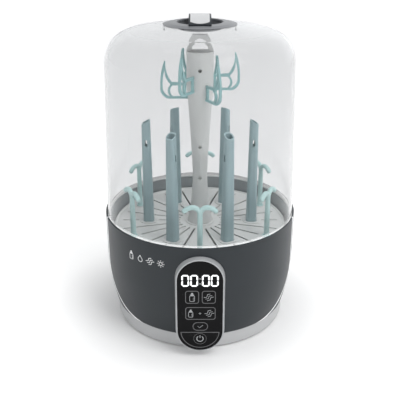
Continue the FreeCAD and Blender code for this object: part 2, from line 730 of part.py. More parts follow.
def dome():
    """Clear dome: drafted side, round shoulder, shallow crown, and a thick bead at the open edge."""
    o = dome_section(0)
    i = dome_section(DOME_WALL)
    lean = DOME_DRAFT * BEAD_HEIGHT / (DOME_SHOULDER_Z - DOME_BOTTOM_Z)
    shell = revolve([
        o["bottom"],
        o["side"],
        (o["shoulder_mid"], o["shoulder_end"]),
        (o["crown_mid"], o["crown"]),
        i["crown"],
        (i["crown_mid"], i["shoulder_end"]),
        (i["shoulder_mid"], i["side"]),
        rz(DOME_RADIUS - DOME_WALL - lean, DOME_BOTTOM_Z + BEAD_HEIGHT),
        rz(DOME_RADIUS - BEAD_WIDTH, DOME_BOTTOM_Z + BEAD_HEIGHT - 1.5),
        rz(DOME_RADIUS - BEAD_WIDTH, DOME_BOTTOM_Z),
    ])
    hole = cylinder(CUP_RADIUS + CUP_FIT, CROWN_Z - 20, CROWN_Z + 20)
    slots = clip_blocks(CLIP_LENGTH, CUP_FIT, CROWN_Z - CLIP_DROP, CROWN_Z + 1.0)
    return shell.cut(hole).cut(Part.makeCompound(slots))


def clip_blocks(length, grow, z0, z1):
    """Two upright blocks at the snap clips under the cup's flange, grown by a clearance."""
    middle = CUP_FLANGE_RADIUS - CLIP_INSET
    half_x = length / 2 + grow
    half_y = CLIP_WIDTH / 2 + grow
    return [box(side * middle - half_x, side * middle + half_x, -half_y, half_y, z0, z1) for side in (-1, 1)]


def handle_cup():
    """Round finger dish let into the crown, with a flange that lies on the dome."""
    under = 0.1
    f = CUP_FLANGE_RADIUS
    hole = CUP_RADIUS
    mid = (f + hole) / 2
    low = CROWN_Z - CUP_DEPTH
    top = CUP_FLANGE_THICK
    brim = f - CUP_FLANGE_TAPER
    lip = hole + 1.5
    cup = revolve([
        rz(hole, crown_z(hole, under)),
        (rz(mid, crown_z(mid, under)), rz(f, crown_z(f, under))),
        rz(f, crown_z(f, under) + CUP_FLANGE_EDGE),
        rz(brim, crown_z(brim, top)),
        (rz(mid, crown_z(mid, top)), rz(lip, crown_z(lip, top))),
        rz(hole - CUP_WALL, low + CUP_WALL + 1.5),
        rz(hole - CUP_WALL - 1.5, low + CUP_WALL),
        rz(0, low + CUP_WALL),
        rz(0, low),
        rz(hole - 1.5, low),
        rz(hole, low + 1.5),
    ])
    tip = CROWN_Z - CLIP_DROP
    stems = clip_blocks(CLIP_STEM, 0, tip, crown_z(f, under) + CUP_FLANGE_EDGE / 2)
    barbs = clip_blocks(CLIP_LENGTH, 0, tip, tip + CLIP_BARB)
    return fused([cup] + stems + barbs)


def bar_top(y, offset=0.0):
    """Height of the grip bar's top at y, which is an arc over its length, moved by offset."""
    half = BAR_LENGTH / 2
    radius = (half ** 2 + BAR_END_DROP ** 2) / (2 * BAR_END_DROP)
    top = CROWN_Z + BAR_RISE
    return top - radius + math.sqrt((radius + offset) ** 2 - y ** 2)


def handle_bar(cup):
    """Arched grip bar across the dish, cut to stand on it."""
    half = BAR_LENGTH / 2
    inner = half - BAR_FOOT
    floor = CROWN_Z - CUP_DEPTH
    under = bar_top(0) - BAR_THICK
    spring = bar_top(inner) - BAR_THICK - 2.0
    bar = plate_along_x([
        vec(0, -half, floor),
        vec(0, -half, bar_top(half)),
        (vec(0, 0, bar_top(0)), vec(0, half, bar_top(half))),
        vec(0, half, floor),
        vec(0, inner, floor),
        vec(0, inner, spring),
        (vec(0, 0, under), vec(0, -inner, spring)),
        vec(0, -inner, floor),
    ], BAR_WIDTH)
    outside = [s for s in bar.cut(cup).Solids if s.BoundBox.ZMax > CROWN_Z]
    return outside[0].cut(inlay_block())


def inlay_block():
    """Tongue-ended band let into the top of the bar."""
    half = BAR_LENGTH / 2 - INLAY_END_GAP
    edge = half - (INLAY_END_RADIUS - math.sqrt(INLAY_END_RADIUS ** 2 - (INLAY_WIDTH / 2) ** 2))
    w = INLAY_WIDTH / 2
    low = CROWN_Z - 5
    outline = Part.Face(closed_wire([
        vec(-w, -edge, low),
        (vec(0, -half, low), vec(w, -edge, low)),
        vec(w, edge, low),
        (vec(0, half, low), vec(-w, edge, low)),
    ])).extrude(vec(0, 0, 40))
    ends = BAR_LENGTH / 2
    band = plate_along_x([
        vec(0, -ends, bar_top(ends, -INLAY_SINK)),
        (vec(0, 0, bar_top(0, -INLAY_SINK)), vec(0, ends, bar_top(ends, -INLAY_SINK))),
        vec(0, ends, bar_top(ends, INLAY_PROUD)),
        (vec(0, 0, bar_top(0, INLAY_PROUD)), vec(0, -ends, bar_top(ends, INLAY_PROUD))),
    ], BAR_WIDTH)
    return band.common(outline)


# ---------------------------------------------------------------- rack
def peg_azimuths():
    return [30.0 + n * 360.0 / PEG_COUNT for n in range(PEG_COUNT)]


def hook_azimuths():
    return [n * 360.0 / HOOK_COUNT for n in range(HOOK_COUNT)]


def arm_azimuths():
    return [30.0 + n * 360.0 / ARM_COUNT for n in range(ARM_COUNT)]


def tenon_wire(grow, z):
    half_x = PEG_FOOT_RADIAL / 2 - PEG_TENON_INSET + grow
    half_y = PEG_FOOT_TANGENT / 2 - PEG_TENON_INSET + grow
    return rounded_box_wire(half_x, half_y, PEG_CORNER - PEG_TENON_INSET + grow, z)


def prism(wire, height):
    return Part.Face(wire).extrude(vec(0, 0, height))


def radial_slot(r0, r1, azimuth):
    """Round-ended slot through the tray along one azimuth."""
    z0 = TRAY_BOTTOM_Z - 1
    height = TRAY_THICK + PAD_HEIGHT + 2
    half = SLOT_WIDTH / 2
    strip = Part.makeBox(r1 - r0 - 2 * half, SLOT_WIDTH, height, vec(r0 + half, -half, z0))
    ends = [Part.makeCylinder(half, height, vec(r, 0, z0)) for r in (r0 + half, r1 - half)]
    return at_azimuth(strip.multiFuse(ends).removeSplitter(), azimuth)


def rack_tray():
    """Slotted round tray with a rim, raised pads and sockets for pegs, hooks and column."""
    z0, z1 = TRAY_BOTTOM_Z, TRAY_Z
    foot = LEDGE_Z + TRAY_REST
    lip_in = TRAY_RADIUS - TRAY_LIP_WIDTH
    tray = revolve([
        rz(0, z0),
        rz(lip_in, z0),
        rz(lip_in, foot),
        rz(TRAY_RADIUS, foot),
        rz(TRAY_RADIUS, z1 + TRAY_LIP - 0.8),
        (rz(TRAY_RADIUS - 0.25, z1 + TRAY_LIP - 0.25), rz(TRAY_RADIUS - 0.8, z1 + TRAY_LIP)),
        rz(lip_in, z1 + TRAY_LIP),
        rz(lip_in - 1.6, z1),
        rz(0, z1),
    ])
    peg_turn = 360.0 / PEG_COUNT / 2
    pads = []
    for azimuth in peg_azimuths():
        wire = rounded_box_wire(PEG_FOOT_RADIAL / 2 + PAD_MARGIN, PEG_FOOT_TANGENT / 2 + PAD_MARGIN,
                                PEG_CORNER + PAD_MARGIN, z0 + 1)
        pad = prism(wire, TRAY_THICK - 1 + PAD_HEIGHT)
        pad.translate(vec(PEG_CIRCLE, 0, 0))
        recess = prism(rounded_box_wire(PEG_FOOT_RADIAL / 2 + 0.6, PEG_FOOT_TANGENT / 2 + 0.6,
                                        PEG_CORNER, z1), PAD_HEIGHT + 1)
        recess.translate(vec(PEG_CIRCLE, 0, 0))
        pads.append(at_azimuth(pad.cut(recess), azimuth))
    collars = [cylinder(HOOK_FOOT_RADIUS + 2.4, z0 + 1, z1 + 0.8, at.x, at.y)
               for at in (spot(HOOK_CIRCLE, a) for a in hook_azimuths())]
    hub = cylinder(COLUMN_FOOT_RADIUS + 3.5, z0 + 1, z1 + PAD_HEIGHT)
    tray = fused([tray, hub] + pads + collars)
    cuts = [cylinder(SPIGOT_RADIUS + SPIGOT_FIT, z0 - 5, z1 + 5),
            cylinder(COLUMN_FOOT_RADIUS + 0.5, z1, z1 + 5)]
    for azimuth in hook_azimuths():
        at = spot(HOOK_CIRCLE, azimuth)
        cuts.append(cylinder(HOOK_TENON_RADIUS + HOOK_FIT, z0 - 5, z1 + 5, at.x, at.y))
        cuts.append(cylinder(HOOK_FOOT_RADIUS + 0.5, z1, z1 + 5, at.x, at.y))
    outer = lip_in - SLOT_MARGIN
    peg_half = PEG_FOOT_RADIAL / 2 + PAD_MARGIN + 2
    for azimuth in peg_azimuths():
        hole = prism(tenon_wire(PEG_FIT, z0 - 5), TRAY_THICK + 10)
        hole.translate(vec(PEG_CIRCLE, 0, 0))
        cuts.append(at_azimuth(hole, azimuth))
        cuts.append(radial_slot(SLOT_INNER_RADIUS, PEG_CIRCLE - peg_half, azimuth))
        cuts.append(radial_slot(PEG_CIRCLE + peg_half, outer, azimuth))
        for side in (-1, 1):
            cuts.append(radial_slot(SLOT_INNER_RADIUS, outer, azimuth + side * peg_turn / 2))
    for azimuth in hook_azimuths():
        cuts.append(radial_slot(SLOT_INNER_RADIUS, HOOK_CIRCLE - HOOK_FOOT_RADIUS - 6, azimuth))
    return tray.cut(cuts[0].multiFuse(cuts[1:]))


def column_section(inset, z0, z1):
    """Half section of the waisted column, moved inwards by inset, between two heights."""
    foot = COLUMN_FOOT_RADIUS - inset
    waist = COLUMN_WAIST_RADIUS - inset
    head = COLUMN_TOP_RADIUS - inset
    low_mid = waist + (foot - waist) * 0.24
    high_mid = waist + (head - waist) * 0.41
    return [
        rz(0, z0),
        rz(foot, z0),
        (rz(low_mid, TRAY_Z + COLUMN_WAIST_RISE / 2), rz(waist, COLUMN_WAIST_Z)),
        (rz(high_mid, (COLUMN_WAIST_Z + COLUMN_TAPER_Z) / 2), rz(head, COLUMN_TAPER_Z)),
        rz(head, z1),
        rz(0, z1),
    ]


def loop_handle():
    """Flat arch over the column's head with a finger opening."""
    z0 = COLUMN_TOP_Z
    top = LOOP_TOP_Z
    r = COLUMN_TOP_RADIUS
    arch = plate_along_y([
        vec(-r, 0, z0 - 4),
        vec(r, 0, z0 - 4),
        vec(r, 0, z0),
        (vec(r - 4.2, 0, z0 + 0.6 * LOOP_HEIGHT), vec(LOOP_TOP_HALF, 0, top)),
        vec(-LOOP_TOP_HALF, 0, top),
        (vec(-r + 4.2, 0, z0 + 0.6 * LOOP_HEIGHT), vec(-r, 0, z0)),
    ], LOOP_THICK)
    h = LOOP_HOLE_HALF
    hole_z = z0 + 2
    opening = plate_along_y([
        vec(-h, 0, hole_z),
        vec(h, 0, hole_z),
        (vec(h - 2.6, 0, hole_z + 0.65 * LOOP_HOLE_HEIGHT), vec(0, 0, hole_z + LOOP_HOLE_HEIGHT)),
        (vec(-h + 2.6, 0, hole_z + 0.65 * LOOP_HOLE_HEIGHT), vec(-h, 0, hole_z)),
    ], LOOP_THICK + 2)
    return arch.cut(opening)


def arm_bottom_z(number):
    """Lower edge of an arm; every second arm stands in the upper tier."""
    return COLUMN_TOP_Z - ARM_LOW_DROP + ARM_TIER * ((number + 1) % 2)


def arm_sockets():
    """Square holes in the column for every arm's two tenons."""
    half = ARM_ROD / 2 + ARM_FIT
    reach = COLUMN_TOP_RADIUS - COLUMN_WALL - 4
    holes = []
    for number, azimuth in enumerate(arm_azimuths(), 1):
        low = arm_bottom_z(number)
        for z in (low, low + ARM_YOKE - ARM_ROD):
            hole = box(reach, COLUMN_TOP_RADIUS + 5, -half, half, z - ARM_FIT, z + ARM_ROD + ARM_FIT)
            holes.append(at_azimuth(hole, azimuth))
    return holes


def column_halves():
    """Front and rear halves of the hollow column with its loop, parted on the plane y = 0."""
    body = revolve(column_section(0, TRAY_Z, COLUMN_TOP_Z))
    hollow = revolve(column_section(COLUMN_WALL, TRAY_Z + 4, COLUMN_TOP_Z - COLUMN_WALL))
    spigot = cylinder(SPIGOT_RADIUS, TRAY_Z - SPIGOT_LENGTH, TRAY_Z + 1)
    bosses = []
    for drop in SCREW_DROPS:
        z = COLUMN_TOP_Z - drop
        boss = cylinder_along_y(SCREW_BOSS_RADIUS, -COLUMN_TOP_RADIUS, COLUMN_TOP_RADIUS, 0, z)
        bosses.append(boss.common(body))
    column = fused([body.cut(hollow), spigot, loop_handle()] + bosses)
    cuts = arm_sockets()
    for drop in SCREW_DROPS:
        z = COLUMN_TOP_Z - drop
        cuts.append(cylinder_along_y(SCREW_RADIUS, -TALL / 2, SCREW_REACH, 0, z))
        cuts.append(cylinder_along_y(SCREW_HEAD_RADIUS, -TALL / 2, -SCREW_SEAT, 0, z))
    column = column.cut(cuts[0].multiFuse(cuts[1:]))
    front = column.common(box(-60, 60, -60, 0, 0, TALL))
    rear = column.common(box(-60, 60, 0, 60, 0, TALL))
    return front, rear


def column_screws():
    screws = []
    for drop in SCREW_DROPS:
        z = COLUMN_TOP_Z - drop
        seat = -SCREW_SEAT
        shank = cylinder_along_y(SCREW_RADIUS - 0.05, seat - 0.5, SCREW_REACH - 0.5, 0, z)
        head = cylinder_along_y(SCREW_HEAD_RADIUS - 0.1, seat - 2, seat, 0, z)
        screws.append(shank.fuse(head).removeSplitter())
    return Part.makeCompound(screws)


def column_nut():
    """Knurled nut on the spigot under the tray."""
    z1 = TRAY_BOTTOM_Z
    nut = cylinder(NUT_RADIUS, z1 - NUT_HEIGHT, z1).cut(
        cylinder(SPIGOT_RADIUS + SPIGOT_FIT, z1 - NUT_HEIGHT - 1, z1 + 1))
    grips = [at_azimuth(cylinder(1.6, z1 - NUT_HEIGHT - 1, z1 + 1, NUT_RADIUS + 0.4, 0), n * 30.0)
             for n in range(12)]
    return nut.cut(grips[0].multiFuse(grips[1:]))


def bottle_peg(azimuth):
    """Hollow tapering peg with a slanted open tip, side vents and a tenon for its socket."""
    z0 = TRAY_Z
    z1 = TRAY_Z + PEG_HEIGHT

    def section(inset, z, tip):
        half_x = (PEG_TIP_RADIAL if tip else PEG_FOOT_RADIAL) / 2 - inset
        half_y = (PEG_TIP_TANGENT if tip else PEG_FOOT_TANGENT) / 2 - inset
        return rounded_box_wire(half_x, half_y, PEG_CORNER - inset, z)

    outer = Part.makeLoft([section(0, z0, False), section(0, z1, True)], True, True)
    inner = Part.makeLoft([section(PEG_WALL, z0, False), section(PEG_WALL, z1, True)], True, True)
    tenon = prism(tenon_wire(0, z0 - PEG_TENON_LENGTH), PEG_TENON_LENGTH + 0.5)
    bore = prism(tenon_wire(-PEG_WALL, z0 - PEG_TENON_LENGTH - 1), PEG_TENON_LENGTH + 2)
    peg = fused([outer.cut(inner), tenon]).cut(bore)
    half = PEG_TIP_RADIAL / 2
    slope = PEG_BEVEL_DROP / PEG_TIP_RADIAL
    reach = 20.0
    above = plate_along_y([
        vec(-reach, 0, z1 + slope * (reach - half)),
        vec(reach, 0, z1 - slope * (reach + half)),
        vec(reach, 0, z1 + reach * 2),
        vec(-reach, 0, z1 + reach * 2),
    ], 60)
    vent_z = z1 - PEG_VENT_DROP
    vent = cylinder_along_y(PEG_VENT_WIDTH / 2, -30, 30, 0, vent_z + PEG_VENT_HEIGHT / 2)
    vent = vent.fuse(cylinder_along_y(PEG_VENT_WIDTH / 2, -30, 30, 0, vent_z - PEG_VENT_HEIGHT / 2))
    vent = vent.fuse(box(-PEG_VENT_WIDTH / 2, PEG_VENT_WIDTH / 2, -30, 30,
                         vent_z - PEG_VENT_HEIGHT / 2, vent_z + PEG_VENT_HEIGHT / 2))
    peg = peg.cut(above).cut(vent)
    peg.translate(vec(PEG_CIRCLE, 0, 0))
    return at_azimuth(peg, azimuth)


def swept_rod(points, radius):
    """Round rod along a path of lines and arcs, with round ends."""
    path = Part.Wire(edges_through(points))
    start = points[0]
    first = path.Edges[0]
    direction = first.tangentAt(first.FirstParameter)
    ring = Part.Wire(Part.makeCircle(radius, start, direction))
    rod = path.makePipeShell([ring], True, True)
    return rod


def hook_post(azimuth):
    """Post with two curls that part left and right, on a round foot with a tenon."""
    z0 = TRAY_Z
    top = TRAY_Z + HOOK_HEIGHT - HOOK_ROD
    root = top - HOOK_RISE
    crest = HOOK_REACH * 0.5
    shapes = [
        cylinder(HOOK_TENON_RADIUS, z0 - HOOK_TENON_LENGTH, z0 + 1),
        cylinder(HOOK_FOOT_RADIUS, z0, z0 + HOOK_FOOT_HEIGHT),
        Part.makeCone(HOOK_ROD + 0.6, HOOK_ROD, root - z0, vec(0, 0, z0)),
        Part.makeSphere(HOOK_ROD, vec(0, 0, root)),
    ]
    lift = HOOK_RISE * 0.74
    for side in (-1, 1):
        tip = vec(0, side * HOOK_REACH, top - HOOK_DROOP)
        shapes.append(swept_rod([
            vec(0, 0, root),
            (vec(0, side * crest * 0.34, root + lift), vec(0, side * crest, top)),
            (vec(0, side * (crest + HOOK_REACH) * 0.52, top - HOOK_DROOP * 0.34), tip),
        ], HOOK_ROD))
        shapes.append(Part.makeSphere(HOOK_ROD, tip))
    hook = fused(shapes)
    hook.translate(vec(HOOK_CIRCLE, 0, 0))
    return at_azimuth(hook, azimuth)


def teat_arm(number, azimuth):
    """Two-rod arm: a yoke at the column, a round eye, and a crescent that rises to a tine."""
    z = arm_bottom_z(number)
    w = ARM_ROD
    seat = COLUMN_TOP_RADIUS + ARM_SEAT_GAP
    reach = ARM_REACH
    tip = ARM_TIP_RADIUS
    top = z + ARM_HEIGHT
    yoke = z + ARM_YOKE
    elbow = reach - 11.0
    body = plate_along_y([
        vec(seat, 0, z),
        vec(elbow, 0, z),
        (vec(reach - 2.6, 0, z + 5.6), vec(reach, 0, z + 17.0)),
        (vec(reach - 1.2, 0, z + 35.0), vec(tip + 1.2, 0, top - 1.0)),
        (vec(tip + 0.4, 0, top), vec(tip - 0.6, 0, top - 1.0)),
        (vec(tip - 2.2, 0, z + 35.5), vec(tip - 8.6, 0, yoke + 1.4)),
        vec(seat, 0, yoke),
    ], w)
    eye = elbow - 6.0
    crescent = plate_along_y([
        vec(eye + w, 0, z + w),
        vec(elbow - 0.6, 0, z + w),
        (vec(reach - w - 2.4, 0, z + 8.0), vec(reach - w, 0, z + 17.5)),
        (vec(reach - w - 0.8, 0, z + 31.0), vec(tip + 0.6, 0, top - 13.0)),
        (vec(tip - 0.4, 0, z + 30.6), vec(tip - 6.4, 0, yoke - 1.0)),
        vec(eye + w, 0, yoke - w),
        (vec(eye + w + 3.6, 0, z + ARM_YOKE / 2), vec(eye + w, 0, z + w)),
    ], w + 2)
    window = plate_along_y([
        vec(seat + w, 0, z + w),
        vec(eye, 0, z + w),
        (vec(eye + 3.6, 0, z + ARM_YOKE / 2), vec(eye, 0, yoke - w)),
        vec(seat + w, 0, yoke - w),
    ], w + 2)
    tenons = []
    for low in (z, yoke - w):
        tenons.append(box(seat - ARM_TENON, seat + 1, -w / 2, w / 2, low, low + w))
    arm = fused([body.cut(crescent).cut(window)] + tenons)
    return at_azimuth(arm, azimuth)


# ---------------------------------------------------------------- control panel
def control_frame():
    """Pill-shaped frame: drafted outside, pocket for the glass, open chamber behind it."""
    grow = 2 * PANEL_BEZEL
    front = pill_wire(PANEL_WIDTH + grow, PANEL_HEIGHT + grow, PANEL_FRONT_Y, PANEL_MID_Z)
    grow_root = 2 * (PANEL_BEZEL + PANEL_DRAFT)
    root_y = -RIM_RADIUS
    root = pill_wire(PANEL_WIDTH + grow_root, PANEL_HEIGHT + grow_root, root_y, PANEL_MID_Z)
    nose = Part.makeLoft([front, root], True, True)
    back = pill(PANEL_WIDTH + grow_root, PANEL_HEIGHT + grow_root, root_y, POD_BACK_Y, PANEL_MID_Z)
    frame = fused([nose, back])
    pocket_back = PANEL_FRONT_Y + GLASS_THICK - GLASS_PROUD
    pocket = pill(PANEL_WIDTH + 2 * GLASS_FIT, PANEL_HEIGHT + 2 * GLASS_FIT,
                  PANEL_FRONT_Y - 1, pocket_back, PANEL_MID_Z)
    shrink = 2 * POD_WALL
    chamber = pill(PANEL_WIDTH - shrink, PANEL_HEIGHT - shrink, PANEL_FRONT_Y - 1, POD_BACK_Y + 1,
                   PANEL_MID_Z)
    return frame.cut(pocket).cut(chamber).cut(bowl_keepout())


def control_glass():
    y0 = PANEL_FRONT_Y - GLASS_PROUD
    glass = pill(PANEL_WIDTH, PANEL_HEIGHT, y0, y0 + GLASS_THICK, PANEL_MID_Z)
    front_edges = [e for e in glass.Edges
                   if abs(e.BoundBox.YMin - y0) < 1e-6 and abs(e.BoundBox.YMax - y0) < 1e-6]
    return glass.makeFillet(0.5, front_edges)


def display_module():
    y0 = PANEL_FRONT_Y - GLASS_PROUD + GLASS_THICK
    z = PANEL_TOP_Z - DISPLAY_DROP
    return box(-DISPLAY_WIDTH / 2, DISPLAY_WIDTH / 2, y0, y0 + DISPLAY_THICK,
               z - DISPLAY_HEIGHT / 2, z + DISPLAY_HEIGHT / 2)


def control_board():
    y0 = PANEL_FRONT_Y - GLASS_PROUD + GLASS_THICK + DISPLAY_THICK
    shrink = 2 * (POD_WALL + 1)
    return pill(PANEL_WIDTH - shrink, PANEL_HEIGHT - shrink, y0, y0 + BOARD_THICK, PANEL_MID_Z)


def touch_sensors():
    """Contact springs between the board and the glass, drawn as short sleeves."""
    y0 = PANEL_FRONT_Y - GLASS_PROUD + GLASS_THICK
    sleeves = []
    for x, drop in SENSOR_SPOTS:
        z = PANEL_TOP_Z - drop
        sleeve = cylinder_along_y(SENSOR_RADIUS, y0, y0 + DISPLAY_THICK, x, z)
        sleeves.append(sleeve.cut(cylinder_along_y(SENSOR_RADIUS - 0.8, y0 - 1, y0 + DISPLAY_THICK + 1, x, z)))
    return Part.makeCompound(sleeves)


# ---------------------------------------------------------------- air filter
def filter_tunnel(grow):
    """Outer block of the filter tunnel, grown by a clearance."""
    half = FILTER_OUTER_WIDTH / 2 + grow
    middle_z = FILTER_BOTTOM_Z + FILTER_HEIGHT / 2
    tall = FILTER_HEIGHT / 2 + FILTER_FIT + FILTER_WALL + grow
    front = FILTER_FRONT_Y - FILTER_WALL
    block = prism(rounded_box_wire(half, tall, FILTER_CORNER + grow, 0), DOOR_FACE_Y + DOOR_RECESS - front)
    block.rotate(ORIGIN, vec(1, 0, 0), -90)
    block.translate(vec(0, front, middle_z))
    return block


def filter_housing():
    """Square tunnel through the rear cover with an inner stop for the filter."""
    inner = FILTER_WIDTH / 2 + FILTER_FIT
    z0 = FILTER_BOTTOM_Z - FILTER_FIT
    z1 = FILTER_BOTTOM_Z + FILTER_HEIGHT + FILTER_FIT
    hollow = box(-inner, inner, FILTER_FRONT_Y, TALL, z0, z1)
    throat = box(-inner + 5, inner - 5, 0, FILTER_FRONT_Y + 1, z0 + 5, z1 - 5)
    housing = filter_tunnel(0).cut(hollow).cut(throat)
    axis_z = door_axis_z()
    bores = cylinder_along_x(DOOR_PIN_RADIUS + DOOR_PIN_FIT, -TALL / 2, TALL / 2, DOOR_AXIS_Y, axis_z)
    return housing.cut(bores)


def air_filter():
    """Pleated filter block, its pleats running upright."""
    z0, z1 = FILTER_BOTTOM_Z, FILTER_BOTTOM_Z + FILTER_HEIGHT
    half = FILTER_WIDTH / 2
    frame = box(-half, half, FILTER_FRONT_Y, FILTER_REAR_Y, z0, z1)
    window = box(-half + 2.5, half - 2.5, 0, TALL, z0 + 2.5, z1 - 2.5)
    frame = frame.cut(window)
    step = (FILTER_WIDTH - 5) / 13
    pleats = []
    for n in range(13):
        x = -half + 2.5 + n * step
        near = FILTER_FRONT_Y + 2.0
        far = FILTER_REAR_Y - 2.0
        face = Part.Face(Part.makePolygon([
            vec(x - 0.4, near, z0 + 1), vec(x + step / 2, far, z0 + 1), vec(x + step + 0.4, near, z0 + 1),
            vec(x + step - 0.8, near, z0 + 1), vec(x + step / 2, far - 3, z0 + 1),
            vec(x + 0.8, near, z0 + 1), vec(x - 0.4, near, z0 + 1)]))
        pleats.append(face.extrude(vec(0, 0, z1 - z0 - 2)))
    return fused([frame] + pleats)


def door_axis_z():
    return FILTER_BOTTOM_Z - FILTER_FIT + DOOR_GAP + DOOR_THICK / 2


def filter_door():
    """Slotted door on two pins along its lower edge."""
    half = FILTER_WIDTH / 2 + FILTER_FIT - DOOR_GAP
    axis_z = door_axis_z()
    top = FILTER_BOTTOM_Z + FILTER_HEIGHT + FILTER_FIT - DOOR_GAP
    leaf = box(-half, half, DOOR_FACE_Y - DOOR_THICK, DOOR_FACE_Y, axis_z, top)
    edge = cylinder_along_x(DOOR_THICK / 2, -half, half, DOOR_AXIS_Y, axis_z)
    pins = cylinder_along_x(DOOR_PIN_RADIUS, -half - DOOR_PIN_LENGTH, half + DOOR_PIN_LENGTH,
                            DOOR_AXIS_Y, axis_z)
    door = fused([leaf, edge, pins])
    pitch = (top - axis_z - 14) / (DOOR_SLOT_COUNT - 1)
    cuts = []
    for n in range(DOOR_SLOT_COUNT):
        z = axis_z + 5 + n * pitch
        for x0, x1 in ((-half + 6, -2), (2, half - 6)):
            cuts.append(box(x0, x1, 0, TALL, z - DOOR_SLOT_HEIGHT / 2, z + DOOR_SLOT_HEIGHT / 2))
    cuts.append(box(-9, 9, DOOR_FACE_Y - 2, TALL, top - 3.5, top + 1))
    return door.cut(cuts[0].multiFuse(cuts[1:]))


# ---------------------------------------------------------------- blower and duct
def blower_housing():
    """Open drum with a square outlet on its right side and a post for the motor."""
    z0, z1 = BLOWER_BOTTOM_Z, BLOWER_TOP_Z
    drum = cylinder(BLOWER_RADIUS, z0, z1, 0, BLOWER_Y)
    throat_x = BLOWER_RADIUS + 6
    snout = box(0, throat_x, DUCT_Y - DUCT_WIDTH / 2 - BLOWER_WALL, DUCT_Y + DUCT_WIDTH / 2 + BLOWER_WALL,
                z0, z0 + DUCT_HEIGHT + 2 * BLOWER_WALL)
    drum = drum.fuse(snout).removeSplitter()
    hollow = cylinder(BLOWER_RADIUS - BLOWER_WALL, z0 + BLOWER_WALL, z1 + 1, 0, BLOWER_Y)
    bore = box(0, throat_x + 1, DUCT_Y - DUCT_WIDTH / 2, DUCT_Y + DUCT_WIDTH / 2,
               z0 + BLOWER_WALL, z0 + BLOWER_WALL + DUCT_HEIGHT)
    return drum.cut(hollow).cut(bore)


def blower_lid():
    lid = cylinder(BLOWER_RADIUS, BLOWER_TOP_Z, BLOWER_TOP_Z + BLOWER_LID_THICK, 0, BLOWER_Y)
    return lid.cut(cylinder(BLOWER_INTAKE_RADIUS, 0, TALL, 0, BLOWER_Y))


def blower_motor():
    z0 = BLOWER_BOTTOM_Z + BLOWER_WALL
    motor = cylinder(MOTOR_RADIUS, z0, z0 + MOTOR_HEIGHT, 0, BLOWER_Y)
    return motor.cut(cylinder(SHAFT_RADIUS + SHAFT_FIT, z0 + 2, TALL, 0, BLOWER_Y))


def impeller():
    """Squirrel-cage wheel on its shaft: a hub cup over the motor, blades and two rings."""
    floor = BLOWER_BOTTOM_Z + BLOWER_WALL + 2.0
    top = floor + IMPELLER_HEIGHT
    hub_z = BLOWER_BOTTOM_Z + BLOWER_WALL + MOTOR_HEIGHT + 2.0
    w = IMPELLER_WALL
    out = IMPELLER_RADIUS
    inn = IMPELLER_RADIUS - IMPELLER_BLADE_DEPTH
    cup = MOTOR_RADIUS + 2.0
    shell = revolve([
        rz(0, hub_z),
        rz(cup, hub_z),
        rz(cup, floor),
        rz(out, floor),
        rz(out, floor + w),
        rz(cup + w, floor + w),
        rz(cup + w, hub_z + w),
        rz(0, hub_z + w),
    ])
    ring = revolve([rz(inn, top - w), rz(out, top - w), rz(out, top), rz(inn, top)])
    shaft = cylinder(SHAFT_RADIUS, BLOWER_BOTTOM_Z + BLOWER_WALL + 4, hub_z + w + 2)
    blades = []
    for n in range(IMPELLER_BLADES):
        blade = box(inn + 0.5, out - 0.5, -IMPELLER_BLADE_THICK / 2, IMPELLER_BLADE_THICK / 2,
                    floor + w / 2, top - w / 2)
        blades.append(at_azimuth(blade, n * 360.0 / IMPELLER_BLADES))
    wheel = fused([shell, ring, shaft] + blades)
    wheel.translate(vec(0, BLOWER_Y, 0))
    return wheel


def air_duct():
    """Square duct from the blower's snout, past the air heater, up to the bowl's chimney."""
    x0 = BLOWER_RADIUS + 6
    z0 = BLOWER_BOTTOM_Z + BLOWER_WALL - DUCT_WALL
    t = DUCT_WALL
    half = DUCT_WIDTH / 2 + t
    x1 = RISER_X + RISER_LENGTH / 2 + t
    level = box(x0, x1, DUCT_Y - half, DUCT_Y + half, z0, z0 + DUCT_HEIGHT + 2 * t)
    riser = riser_box(t, z0, BOWL_FLOOR_Z - BOWL_WALL)
    hollow = box(x0 - 1, x1 - t, DUCT_Y - half + t, DUCT_Y + half - t, z0 + t, z0 + t + DUCT_HEIGHT)
    shaft = riser_box(0, z0 + t, TALL)
    return level.fuse(riser).removeSplitter().cut(hollow).cut(shaft)


def air_heater():
    """Finned block in the level stretch of the duct."""
    x0 = BLOWER_RADIUS + 9
    z0 = BLOWER_BOTTOM_Z + BLOWER_WALL
    half = DUCT_WIDTH / 2
    frame = box(x0, x0 + PTC_LENGTH, DUCT_Y - half, DUCT_Y + half, z0, z0 + DUCT_HEIGHT)
    frame = frame.cut(box(0, TALL, DUCT_Y - half + 2, DUCT_Y + half - 2, z0 + 2.3, z0 + DUCT_HEIGHT - 2.3))
    fins = []
    for n in range(1, 9):
        y = DUCT_Y - half + 2 + n * (2 * half - 4) / 9
        fins.append(box(x0 + 1, x0 + PTC_LENGTH - 1, y - 0.4, y + 0.4, z0 + 1.5, z0 + DUCT_HEIGHT - 1.5))
    return fused([frame] + fins)


# ---------------------------------------------------------------- power parts
def power_board():
    return box(BOARD_LEFT_X, BOARD_LEFT_X + BOARD_LENGTH, BOARD_REAR_Y - BOARD_WIDTH, BOARD_REAR_Y,
               BOARD_Z, BOARD_Z + BOARD_THICK)


